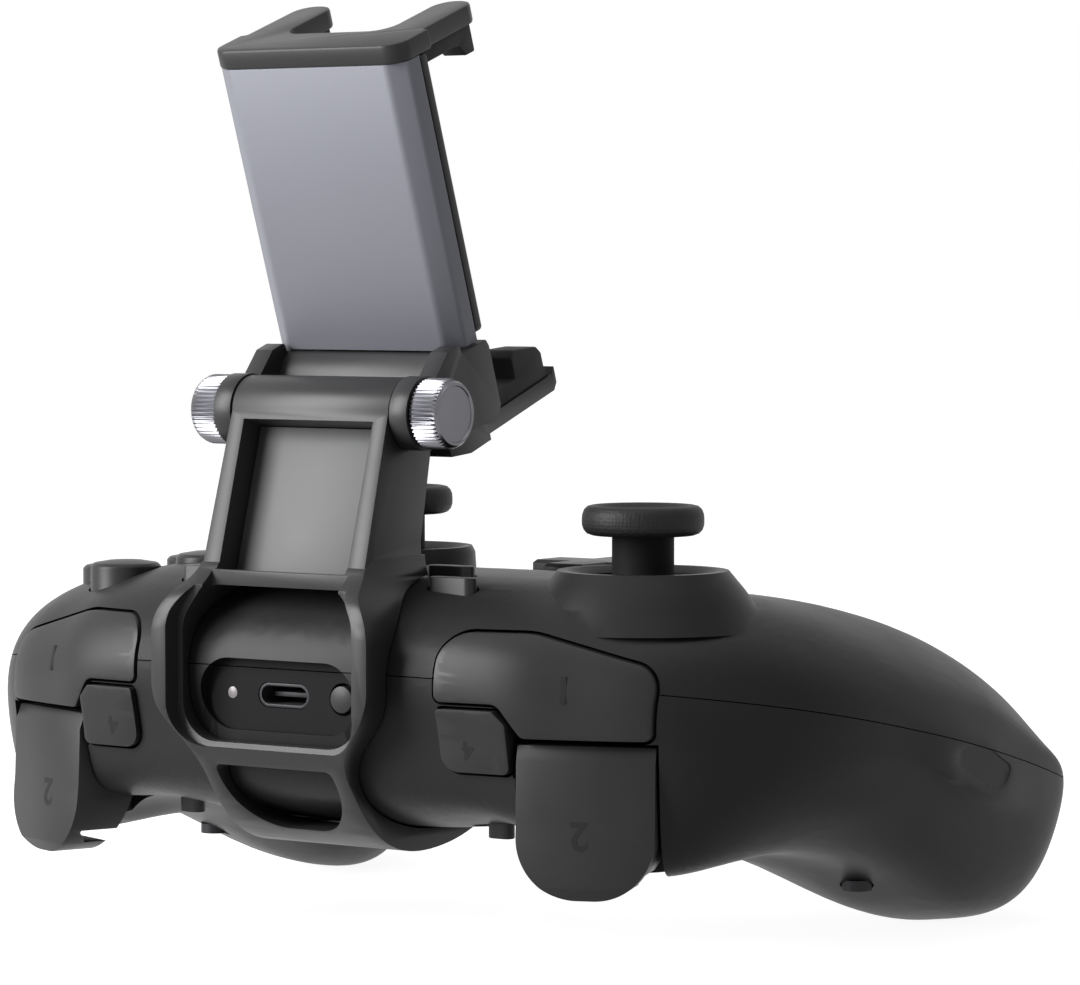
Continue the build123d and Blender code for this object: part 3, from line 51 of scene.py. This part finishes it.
# Camera at the photograph's angle, from behind the controller and a little above it
cameraSettings = {
    "place": (-0.4040, 0.5804, 0.1036),
    "target": (-0.010044, -0.0008, 0.067893),
    "lens": 150.03,
    "sensorWidth": 36.0,
    "clipStart": 0.01,
    "clipEnd": 20.0,
}
bpy.ops.object.select_all(action="DESELECT")
bpy.ops.object.camera_add(location=cameraSettings["place"])
camera = bpy.context.object
camera.name = "photoCamera"
lookAlong = Vector(cameraSettings["target"]) - Vector(cameraSettings["place"])
camera.rotation_euler = lookAlong.to_track_quat("-Z", "Y").to_euler()
camera.data.sensor_fit = "HORIZONTAL"
camera.data.sensor_width = cameraSettings["sensorWidth"]
camera.data.lens = cameraSettings["lens"]
camera.data.clip_start = cameraSettings["clipStart"]
camera.data.clip_end = cameraSettings["clipEnd"]
camera.data.dof.use_dof = False
bpy.context.scene.camera = camera
bpy.context.scene.view_settings.view_transform = "Standard"

# Soft studio lamps: the key comes over the middle of the controller, the fill is much weaker
lampSettings = {
    "key": {"place": (0.51, 0.69, 0.40), "width": 0.5, "height": 0.7, "power": 20.0},
    "top": {"place": (-0.10, 0.05, 0.95), "width": 0.7, "height": 0.7, "power": 1.6},
    "fill": {"place": (-0.80, 0.10, 0.30), "width": 0.6, "height": 0.6, "power": 0.5},
}
aimPoint = Vector((0.0, 0.02, 0.06))
for name, lamp in lampSettings.items():
    bpy.ops.object.light_add(type="AREA", location=lamp["place"])
    light = bpy.context.object
    light.name = name + "Lamp"
    light.rotation_euler = (aimPoint - Vector(lamp["place"])).to_track_quat("-Z", "Y").to_euler()
    light.data.shape = "RECTANGLE"
    light.data.size = lamp["width"]
    light.data.size_y = lamp["height"]
    light.data.energy = lamp["power"]
print("camera and lamps placed")


# Materials
def linear(hexColour):
    values = []
    for start in (1, 3, 5):
        share = int(hexColour[start:start + 2], 16) / 255
        values.append(share / 12.92 if share <= 0.04045 else ((share + 0.055) / 1.055) ** 2.4)
    return (*values, 1.0)


def addNode(tree, kind, settings=None, sockets=None, links=None):
    made = tree.nodes.new(kind)
    for name, value in (settings or {}).items():
        setattr(made, name, value)
    for name, value in (sockets or {}).items():
        made.inputs[name].default_value = value
    for name, source in (links or {}).items():
        tree.links.new(source, made.inputs[name])
    return made


# Gives a material with its Principled shader set, and its node tree
def newMaterial(name, shader):
    material = bpy.data.materials.new(name)
    material.use_nodes = True
    principled = material.node_tree.nodes["Principled BSDF"]
    for socket, value in shader.items():
        principled.inputs[socket].default_value = value
    return material, material.node_tree, principled


# Places of the colour sockets on a mix node, which share their names with its other sockets
mixFrom, mixTo, mixResult = 6, 7, 2

# The noise that all grained surfaces share, and the part of the cloud noise that changes the gloss
grainNoise = {"detail": 2.0, "roughness": 0.6}
cloudNoise = {"detail": 3.0, "roughness": 0.5, "low": 0.3, "high": 0.7}


# Moulded or blasted surface: fine grain as bump, slow changes of gloss and tone
def grainMaterial(name, look):
    shader = {"Base Color": linear(look["colour"]), "Metallic": look.get("metallic", 0.0),
              "Roughness": look["roughness"]}
    if "specular" in look:
        shader["Specular IOR Level"] = look["specular"]
    material, tree, principled = newMaterial(name, shader)
    place = addNode(tree, "ShaderNodeTexCoord").outputs["Object"]
    grain = addNode(tree, "ShaderNodeTexNoise", {"noise_dimensions": "3D"},
                    {"Scale": 1 / (look["grain"] * mm), "Detail": grainNoise["detail"],
                     "Roughness": grainNoise["roughness"]}, {"Vector": place})
    cloud = addNode(tree, "ShaderNodeTexNoise", None,
                    {"Scale": 1 / (look["cloud"] * mm), "Detail": cloudNoise["detail"],
                     "Roughness": cloudNoise["roughness"]}, {"Vector": place})
    gloss = addNode(tree, "ShaderNodeMapRange", None,
                    {"From Min": cloudNoise["low"], "From Max": cloudNoise["high"],
                     "To Min": look["roughness"] - look["glossChange"],
                     "To Max": look["roughness"] + look["glossChange"]}, {"Value": cloud.outputs["Fac"]})
    tree.links.new(gloss.outputs["Result"], principled.inputs["Roughness"])
    tone = addNode(tree, "ShaderNodeMix", {"data_type": "RGBA"},
                   {mixFrom: linear(look["colour"]), mixTo: linear(look["secondColour"])},
                   {"Factor": cloud.outputs["Fac"]})
    tree.links.new(tone.outputs[mixResult], principled.inputs["Base Color"])
    bump = addNode(tree, "ShaderNodeBump", None,
                   {"Strength": look["grainStrength"], "Distance": look["grainDepth"] * mm},
                   {"Height": grain.outputs["Fac"]})
    tree.links.new(bump.outputs["Normal"], principled.inputs["Normal"])
    return material


materialLooks = {
    # ABS, moulded in a spark-eroded tool: black, with an even, dull sheen. The real grain of about
    # 0.1 mm is too fine to show, so it is drawn a little coarser.
    "mouldedAbs": {"colour": "#1f1f20", "secondColour": "#232324", "roughness": 0.4, "glossChange": 0.03,
                   "specular": 0.1, "grain": 0.3, "cloud": 14.0, "grainStrength": 0.25, "grainDepth": 0.03},
    # The same ABS with a darker colour as painted shade and a duller gloss, round the port and on the stems
    # of the sticks
    "paintedShadeAbs": {"colour": "#161617", "secondColour": "#19191a", "roughness": 0.6, "glossChange": 0.03,
                   "specular": 0.05, "grain": 0.3, "cloud": 14.0, "grainStrength": 0.25, "grainDepth": 0.03},
    # ABS keys, moulded in a polished and lightly blasted tool: smoother than the shells
    "satinAbs": {"colour": "#222223", "secondColour": "#262627", "roughness": 0.38, "glossChange": 0.03,
                 "specular": 0.18, "grain": 0.25, "cloud": 9.0, "grainStrength": 0.15, "grainDepth": 0.02},
    # Glass-filled nylon of the bracket, satin, a shade lighter than the shells
    "satinNylon": {"colour": "#242425", "secondColour": "#282829", "roughness": 0.38, "glossChange": 0.03,
                   "specular": 0.22, "grain": 0.35, "cloud": 11.0, "grainStrength": 0.2, "grainDepth": 0.03},
    # Spray-painted panel in the arm's pocket: satin grey
    "satinPaint": {"colour": "#4e4e4f", "secondColour": "#525253", "roughness": 0.45, "glossChange": 0.03,
                   "specular": 0.2, "grain": 0.4, "cloud": 12.0, "grainStrength": 0.12, "grainDepth": 0.02},
    # Aluminium sheet, glass-bead blasted and anodised: grey with a cool, even lustre
    "anodisedAluminium": {"colour": "#6e6f76", "secondColour": "#72737a", "metallic": 0.25, "roughness": 0.5,
                          "glossChange": 0.02, "specular": 0.15, "grain": 0.3, "cloud": 20.0,
                          "grainStrength": 0.15, "grainDepth": 0.02},
    # Silicone rubber pads: black and dull
    "siliconeRubber": {"colour": "#1d1d1e", "secondColour": "#222223", "roughness": 0.7, "glossChange": 0.05,
                       "specular": 0.3, "grain": 0.3, "cloud": 6.0, "grainStrength": 0.3, "grainDepth": 0.03},
    # Zinc-plated steel of pins and springs
    "platedSteel": {"colour": "#8d8e90", "secondColour": "#97989a", "metallic": 1.0, "roughness": 0.32,
                    "glossChange": 0.05, "grain": 0.5, "cloud": 5.0, "grainStrength": 0.1,
                    "grainDepth": 0.01},
    # Steel blackened against glare, of the screws and the port's shell
    "blackenedSteel": {"colour": "#2a2a2c", "secondColour": "#303032", "metallic": 0.4, "roughness": 0.5,
                       "glossChange": 0.05, "specular": 0.2, "grain": 0.5, "cloud": 5.0, "grainStrength": 0.1,
                       "grainDepth": 0.01},
    # Natural black nylon of the hidden moving parts
    "plainNylon": {"colour": "#262627", "secondColour": "#2c2c2d", "roughness": 0.55, "glossChange": 0.05,
                   "specular": 0.4, "grain": 0.4, "cloud": 8.0, "grainStrength": 0.15, "grainDepth": 0.02},
    # Glass-epoxy laminate under green solder lacquer
    "lacqueredLaminate": {"colour": "#1d4a2c", "secondColour": "#225233", "roughness": 0.3,
                          "glossChange": 0.05, "specular": 0.5, "grain": 0.6, "cloud": 7.0,
                          "grainStrength": 0.15, "grainDepth": 0.02},
    # Shrink film round the battery cell: silver grey, half gloss
    "shrinkFilm": {"colour": "#8c8e92", "secondColour": "#96989c", "roughness": 0.35, "glossChange": 0.08,
                   "specular": 0.5, "grain": 3.0, "cloud": 9.0, "grainStrength": 0.3, "grainDepth": 0.1},
    # Milky acrylic of the unlit light
    "milkyAcrylic": {"colour": "#6e686a", "secondColour": "#767072", "roughness": 0.3, "glossChange": 0.04,
                     "specular": 0.5, "grain": 0.3, "cloud": 1.5, "grainStrength": 0.1, "grainDepth": 0.01},
    # Filled engraving on the shoulder controls: dull black
    "engravingFill": {"colour": "#121213", "secondColour": "#161617", "roughness": 0.7, "glossChange": 0.05,
                      "specular": 0.2, "grain": 0.2, "cloud": 3.0, "grainStrength": 0.2, "grainDepth": 0.02},
}
materials = {name: grainMaterial(name, look) for name, look in materialLooks.items()}

# Aluminium bar, turned: bright, with fine rings round the knob's own axis
turnedLook = {"colour": "#66666a", "roughness": 0.28, "ringPitch": 0.32, "ringDepth": 0.02,
              "ringStrength": 0.35, "axis": hingeAxis}


def turnedMaterial(name, look):
    material, tree, principled = newMaterial(
        name, {"Base Color": linear(look["colour"]), "Metallic": 1.0, "Roughness": look["roughness"]})
    place = addNode(tree, "ShaderNodeTexCoord").outputs["Object"]
    centred = addNode(tree, "ShaderNodeMapping", {"vector_type": "POINT"},
                      {"Location": tuple(-value * mm for value in look["axis"])}, {"Vector": place})
    flat = addNode(tree, "ShaderNodeVectorMath", {"operation": "MULTIPLY"}, {1: (0.0, 1.0, 1.0)},
                   {0: centred.outputs["Vector"]})
    reach = addNode(tree, "ShaderNodeVectorMath", {"operation": "LENGTH"}, None, {0: flat.outputs["Vector"]})
    turns = addNode(tree, "ShaderNodeMath", {"operation": "MULTIPLY"}, {1: 2 * pi / (look["ringPitch"] * mm)},
                    {0: reach.outputs["Value"]})
    wave = addNode(tree, "ShaderNodeMath", {"operation": "SINE"}, None, {0: turns.outputs["Value"]})
    bump = addNode(tree, "ShaderNodeBump", None,
                   {"Strength": look["ringStrength"], "Distance": look["ringDepth"] * mm},
                   {"Height": wave.outputs["Value"]})
    tree.links.new(bump.outputs["Normal"], principled.inputs["Normal"])
    return material


materials["turnedAluminium"] = turnedMaterial("turnedAluminium", turnedLook)

# Rubber stick caps: a fine raised dot pattern round the rim, dull black
capLook = {"colour": "#161617", "roughness": 0.55, "specular": 0.2, "dotPitch": 0.55, "dotDepth": 0.12,
           "dotStrength": 0.5, "dotRandomness": 0.25}


def dottedMaterial(name, look):
    material, tree, principled = newMaterial(
        name, {"Base Color": linear(look["colour"]), "Roughness": look["roughness"],
               "Specular IOR Level": look["specular"]})
    place = addNode(tree, "ShaderNodeTexCoord").outputs["Object"]
    dots = addNode(tree, "ShaderNodeTexVoronoi", {"feature": "F1"},
                   {"Scale": 1 / (look["dotPitch"] * mm), "Randomness": look["dotRandomness"]},
                   {"Vector": place})
    bump = addNode(tree, "ShaderNodeBump", {"invert": True},
                   {"Strength": look["dotStrength"], "Distance": look["dotDepth"] * mm},
                   {"Height": dots.outputs["Distance"]})
    tree.links.new(bump.outputs["Normal"], principled.inputs["Normal"])
    return material


materials["dottedRubber"] = dottedMaterial("dottedRubber", capLook)
print("materials made:", len(materials))


# Gives 1 where the camera, a reflection or a refraction sees the surroundings, and 0 for their light
def seenRays(tree):
    rays = addNode(tree, "ShaderNodeLightPath")
    total = rays.outputs["Is Camera Ray"]
    for kind in ("Is Glossy Ray", "Is Transmission Ray"):
        both = addNode(tree, "ShaderNodeMath", {"operation": "ADD", "use_clamp": True}, None,
                       {0: total, 1: rays.outputs[kind]})
        total = both.outputs["Value"]
    return total


# Floor and backdrop: white to the eye, while the floor keeps the controller's shadow
floorSettings = {"size": 12.0, "colour": "#a0a0a0", "roughness": 0.9, "specular": 0.1, "glow": 0.92}
floorMaterial, floorTree, floorShader = newMaterial(
    "paleFloor", {"Base Color": linear(floorSettings["colour"]), "Roughness": floorSettings["roughness"],
                  "Specular IOR Level": floorSettings["specular"], "Emission Color": (1.0, 1.0, 1.0, 1.0)})
floorGlow = addNode(floorTree, "ShaderNodeMath", {"operation": "MULTIPLY"}, {1: floorSettings["glow"]},
                    {0: seenRays(floorTree)})
floorTree.links.new(floorGlow.outputs["Value"], floorShader.inputs["Emission Strength"])
bpy.ops.object.select_all(action="DESELECT")
bpy.ops.mesh.primitive_plane_add(size=floorSettings["size"], location=(0, 0, 0))
floor = bpy.context.object
floor.name = "studioFloor"
floor.data.materials.append(floorMaterial)

worldSettings = {"seenColour": (1.0, 1.0, 1.0, 1.0), "lightColour": (0.12, 0.12, 0.12, 1.0), "strength": 1.0}
world = bpy.data.worlds.new("whiteStudio")
bpy.context.scene.world = world
world.use_nodes = True
background = world.node_tree.nodes["Background"]
skyMix = addNode(world.node_tree, "ShaderNodeMix", {"data_type": "RGBA"},
                 {mixFrom: worldSettings["lightColour"], mixTo: worldSettings["seenColour"]},
                 {"Factor": seenRays(world.node_tree)})
world.node_tree.links.new(skyMix.outputs[mixResult], background.inputs["Color"])
background.inputs["Strength"].default_value = worldSettings["strength"]
print("floor and world made")


# Making pieces
def makeActive(piece):
    bpy.ops.object.select_all(action="DESELECT")
    piece.select_set(True)
    bpy.context.view_layer.objects.active = piece


def startEditing(piece, select="SELECT"):
    makeActive(piece)
    bpy.ops.object.mode_set(mode="EDIT")
    bpy.ops.mesh.select_mode(type="VERT")
    bpy.ops.mesh.select_all(action=select)


def stopEditing():
    bpy.ops.object.mode_set(mode="OBJECT")


def applyModifier(piece, kind, settings):
    makeActive(piece)
    modifier = piece.modifiers.new(kind.title(), kind)
    for name, value in settings.items():
        setattr(modifier, name, value)
    bpy.ops.object.modifier_apply(modifier=modifier.name)


# Gives a piece its material and its body, and lets it stand for its node
def seat(piece, node, material):
    piece.data.materials.clear()
    piece.data.materials.append(materials[material])
    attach(piece, bodyOf[node])
    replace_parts(piece, node)
    return piece


# A copy of a CAD node's mesh with its corners merged and, if asked, its flat faces made whole. Corners
# nearer than the merge distance in mm are one, and faces within the flat angle in degrees are one plane.
copySettings = {"mergeDistance": 0.002, "flatAngle": 0.5}


def copyNode(node, pieceName, flatten=True):
    source = frame["nodes"][node]
    piece = bpy.data.objects.new(pieceName, source.data.copy())
    bpy.context.scene.collection.objects.link(piece)
    makeActive(piece)
    if piece.data.has_custom_normals:
        bpy.ops.mesh.customdata_custom_splitnormals_clear()
    startEditing(piece)
    bpy.ops.mesh.remove_doubles(threshold=copySettings["mergeDistance"] * mm)
    if flatten:
        bpy.ops.mesh.select_all(action="SELECT")
        bpy.ops.mesh.dissolve_limited(angle_limit=radians(copySettings["flatAngle"]))
    stopEditing()
    return piece


def softenEdges(piece, width, segments=2, edgeAngle=32):
    applyModifier(piece, "BEVEL", {"width": width * mm, "segments": segments, "limit_method": "ANGLE",
                                   "angle_limit": radians(edgeAngle), "use_clamp_overlap": True,
                                   "miter_outer": "MITER_ARC", "harden_normals": False})


def smooth(piece, angle=32):
    makeActive(piece)
    bpy.ops.object.shade_smooth_by_angle(angle=radians(angle))


# Pieces whose CAD shape is right get softened edges: node, new name, material, edge width in mm
softenedPieces = {
    "clip_bracket": ("clipBracket", "satinNylon", 0.35),
    "arm_panel": ("armPanel", "satinPaint", 0.15),
    "holder_base": ("holderBase", "satinNylon", 0.3),
    "slide_plate": ("slidePlate", "anodisedAluminium", 0.15),
    "plate_cover": ("plateCover", "satinNylon", 0.25),
    "rest_pad": ("restPad", "siliconeRubber", 0.2),
    "upper_jaw": ("upperJaw", "satinNylon", 0.4),
    "upper_jaw_pads": ("upperJawPads", "siliconeRubber", 0.3),
    "lower_jaw_pads": ("lowerJawPads", "siliconeRubber", 0.3),
    "right_bumper": ("rightBumper", "satinAbs", 0.35),
    "left_bumper": ("leftBumper", "satinAbs", 0.35),
    "right_trigger": ("rightTrigger", "satinAbs", 0.3),
    "left_trigger": ("leftTrigger", "satinAbs", 0.3),
    "right_rear_button": ("rightRearButton", "satinAbs", 0.25),
    "left_rear_button": ("leftRearButton", "satinAbs", 0.25),
    "direction_pad": ("directionPad", "satinAbs", 0.2),
    "north_face_button": ("northFaceButton", "satinAbs", 0.15),
    "east_face_button": ("eastFaceButton", "satinAbs", 0.15),
    "south_face_button": ("southFaceButton", "satinAbs", 0.15),
    "west_face_button": ("westFaceButton", "satinAbs", 0.15),
    "right_front_pill_button": ("rightFrontPillButton", "satinAbs", 0.3),
    "left_front_pill_button": ("leftFrontPillButton", "satinAbs", 0.3),
    "right_back_pill_button": ("rightBackPillButton", "satinAbs", 0.3),
    "left_back_pill_button": ("leftBackPillButton", "satinAbs", 0.3),
    "pair_button": ("pairButton", "satinAbs", 0.15),
    "charging_port": ("chargingPort", "blackenedSteel", 0.08),
    "status_light": ("statusLight", "milkyAcrylic", 0.1),
    "right_trigger_stop": ("rightTriggerStop", "satinAbs", 0.2),
    "left_trigger_stop": ("leftTriggerStop", "satinAbs", 0.2),
    # The stems of the sticks take the darker ABS, whose colour is painted shade
    "left_stick": ("leftStick", "paintedShadeAbs", 0.1),
    "right_stick": ("rightStick", "paintedShadeAbs", 0.1),
}
pieces = {}
for node, (pieceName, material, edgeWidth) in softenedPieces.items():
    piece = copyNode(node, pieceName)
    softenEdges(piece, edgeWidth)
    smooth(piece)
    pieces[pieceName] = seat(piece, node, material)
print("softened pieces:", len(pieces))

# The two shells keep their seam and openings, and are shaded smooth. The recess round the port gets a darker
# colour as painted shade, and a duller gloss.
shellSettings = {"smoothAngle": 38, "normalWeight": 50}
recessShadeBox = {"low": (-14.4, 45.0, 34.0), "high": (14.4, 53.4, 45.4)}
for node, pieceName in (("upper_shell", "upperShell"), ("lower_shell", "lowerShell")):
    piece = copyNode(node, pieceName, flatten=False)
    smooth(piece, shellSettings["smoothAngle"])
    applyModifier(piece, "WEIGHTED_NORMAL", {"keep_sharp": True, "weight": shellSettings["normalWeight"]})
    pieces[pieceName] = seat(piece, node, "mouldedAbs")
    # Faces inside the recess box get the darker ABS: painted shade round the port
    piece.data.materials.append(materials["paintedShadeAbs"])
    low, high = (Vector(recessShadeBox[end]) * mm for end in ("low", "high"))
    for face in piece.data.polygons:
        if all(low[i] < face.center[i] < high[i] for i in range(3)):
            face.material_index = 1
print("shells made")


# Turned pieces are rings drawn out from a circle. Steps are radius and height in mm.
ringMergeDistance = 0.001


def turnedPiece(pieceName, sides, steps):
    firstRadius, lastHeight = steps[0]
    bpy.ops.object.select_all(action="DESELECT")
    bpy.ops.mesh.primitive_circle_add(vertices=sides, radius=firstRadius * mm, fill_type="NGON",
                                      location=(0, 0, lastHeight * mm))
    piece = bpy.context.object
    piece.name = pieceName
    bpy.ops.object.transform_apply(location=True, rotation=True, scale=True)
    startEditing(piece)
    lastRadius = firstRadius
    for radius, height in steps[1:]:
        bpy.ops.mesh.extrude_region_move(
            TRANSFORM_OT_translate={"value": (0, 0, (height - lastHeight) * mm)})
        bpy.ops.transform.resize(value=(radius / lastRadius, radius / lastRadius, 1.0),
                                 center_override=(0, 0, height * mm))
        lastRadius, lastHeight = radius, height
    bpy.ops.mesh.select_all(action="SELECT")
    bpy.ops.mesh.remove_doubles(threshold=ringMergeDistance * mm)
    bpy.ops.mesh.normals_make_consistent(inside=False)
    stopEditing()
    return piece


def placePiece(piece, place, turn=(0, 0, 0)):
    makeActive(piece)
    piece.location = tuple(value * mm for value in place)
    piece.rotation_euler = turn
    bpy.ops.object.transform_apply(location=True, rotation=True, scale=True)


# Rubber caps of the sticks: a dished top, a round rim and a flat underside on the stem
stickCap = {
    "sides": 96,
    "centres": {"left": (-45.2, 24.0), "right": (19.5, -3.3)},
    "steps": ((6.95, 63.7), (7.6, 63.7), (8.3, 63.95), (8.8, 64.5), (9.03, 65.2), (9.05, 66.0), (8.98, 66.8),
              (8.7, 67.5), (8.2, 67.95), (7.6, 68.1), (7.0, 68.0), (6.4, 67.6), (5.4, 67.2), (3.6, 67.0),
              (0.4, 66.95), (0.4, 65.75), (6.95, 65.75)),
    "smoothAngle": 50,
}
for side, (x, y) in stickCap["centres"].items():
    piece = turnedPiece(side + "StickCap", stickCap["sides"], stickCap["steps"])
    placePiece(piece, (x, y, 0))
    smooth(piece, stickCap["smoothAngle"])
    pieces[piece.name] = seat(piece, side + "_stick_cap", "dottedRubber")
print("stick caps made")

# Hinge knobs: every second corner of the rim is drawn in, which cuts the flutes
knob = {
    "flutes": 48,
    "steps": ((5.0, 18.1), (5.3, 18.4), (5.3, 21.9), (4.95, 22.6), (4.6, 23.0), (4.2, 23.0), (4.1, 22.85),
              (0.3, 22.7)),
    "grooved": (18.3, 22.0),
    "grooveShare": 0.93,
    "smoothAngle": 22,
}
for side, turn in (("right", radians(90)), ("left", radians(-90))):
    piece = turnedPiece(side + "HingeKnob", knob["flutes"] * 2, knob["steps"])
    startEditing(piece, "DESELECT")
    stopEditing()
    low, high = (value * mm for value in knob["grooved"])
    for vertex in piece.data.vertices:
        if low <= vertex.co.z <= high:
            around = Vector((vertex.co.x, vertex.co.y)).angle_signed(Vector((0, 1)))
            vertex.select = round(around / (pi / knob["flutes"])) % 2 == 1
    bpy.ops.object.mode_set(mode="EDIT")
    bpy.ops.transform.resize(value=(knob["grooveShare"], knob["grooveShare"], 1.0),
                             center_override=(0, 0, 0))
    stopEditing()
    placePiece(piece, hingeAxis, (0, turn, 0))
    smooth(piece, knob["smoothAngle"])
    pieces[piece.name] = seat(piece, side + "_hinge_knob", "turnedAluminium")
print("hinge knobs made")

# Plain digits let into the shoulder controls. They stand on their heads, as the player's fingers
# reach them over the top.
digits = {
    "1": {"pieces": ("rightBumper", "leftBumper"), "place": (47.5, 43.0), "size": 5.4},
    "2": {"pieces": ("rightTrigger", "leftTrigger"), "place": (49.5, 22.0), "size": 5.8},
    "4": {"pieces": ("rightRearButton", "leftRearButton"), "place": (33.0, 33.6), "size": 3.8},
}
digitSettings = {"halfThickness": 0.1, "sink": 0.07, "boldness": 0.12, "rayStart": 100.0,
                 "mergeDistance": 0.0005}


# A digit as a thin closed slab that lies flat at the origin
def digitSlab(digit, size, pieceName):
    bpy.ops.object.select_all(action="DESELECT")
    bpy.ops.object.text_add()
    text = bpy.context.object
    text.data.body = digit
    text.data.align_x = "CENTER"
    text.data.align_y = "CENTER"
    text.data.size = size * mm
    text.data.extrude = digitSettings["halfThickness"] * mm
    text.data.offset = digitSettings["boldness"] * mm
    bpy.ops.object.convert(target="MESH")
    mark = bpy.context.object
    mark.name = pieceName
    startEditing(mark)
    bpy.ops.mesh.remove_doubles(threshold=digitSettings["mergeDistance"] * mm)
    bpy.ops.mesh.normals_make_consistent(inside=False)
    stopEditing()
    return mark


# Lays a slab upside down on a surface, sunk a little into it
def letIn(mark, point, normal):
    across = Vector((0, 0, -1)).cross(normal).normalized()
    upright = normal.cross(across).normalized()
    turned = Matrix((across, upright, normal)).transposed().to_4x4()
    mark.matrix_world = Matrix.Translation(point - normal * digitSettings["sink"] * mm) @ turned
    makeActive(mark)
    bpy.ops.object.transform_apply(location=True, rotation=True, scale=True)


for digit, spot in digits.items():
    for pieceName in spot["pieces"]:
        piece = pieces[pieceName]
        side = 1 if pieceName.startswith("right") else -1
        x, z = spot["place"]
        rayStart = Vector((side * x, digitSettings["rayStart"], z)) * mm
        _, point, normal, _ = piece.ray_cast(rayStart, Vector((0, -1, 0)))
        mark = digitSlab(digit, spot["size"], pieceName + "Digit")
        letIn(mark, point, normal)
        mark.data.materials.append(materials["engravingFill"])
        node = piece["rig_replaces"][0]
        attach(mark, bodyOf[node])
print("digits let in")

# Nodes that keep their CAD shape only need a finish, which their slot gives unless they are named here
nodeMaterials = {"shell_screws": "blackenedSteel"}
slotMaterials = {
    "shell_plastic": "mouldedAbs",
    "control_plastic": "satinAbs",
    "bracket_plastic": "satinNylon",
    "pad_rubber": "siliconeRubber",
    "plate_aluminium": "anodisedAluminium",
    "knob_aluminium": "turnedAluminium",
    "steel": "platedSteel",
    "inner_plastic": "plainNylon",
    "board_laminate": "lacqueredLaminate",
    "battery_wrap": "shrinkFilm",
    "light_plastic": "milkyAcrylic",
}
replaced = {node for piece in pieces.values() for node in piece["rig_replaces"]}
for node, source in frame["nodes"].items():
    if node in replaced:
        continue
    for holder in source.material_slots:
        holder.material = materials[nodeMaterials.get(node, slotMaterials[slotOf[node]])]
print("finishes given to the kept nodes")

bpy.context.view_layer.update()
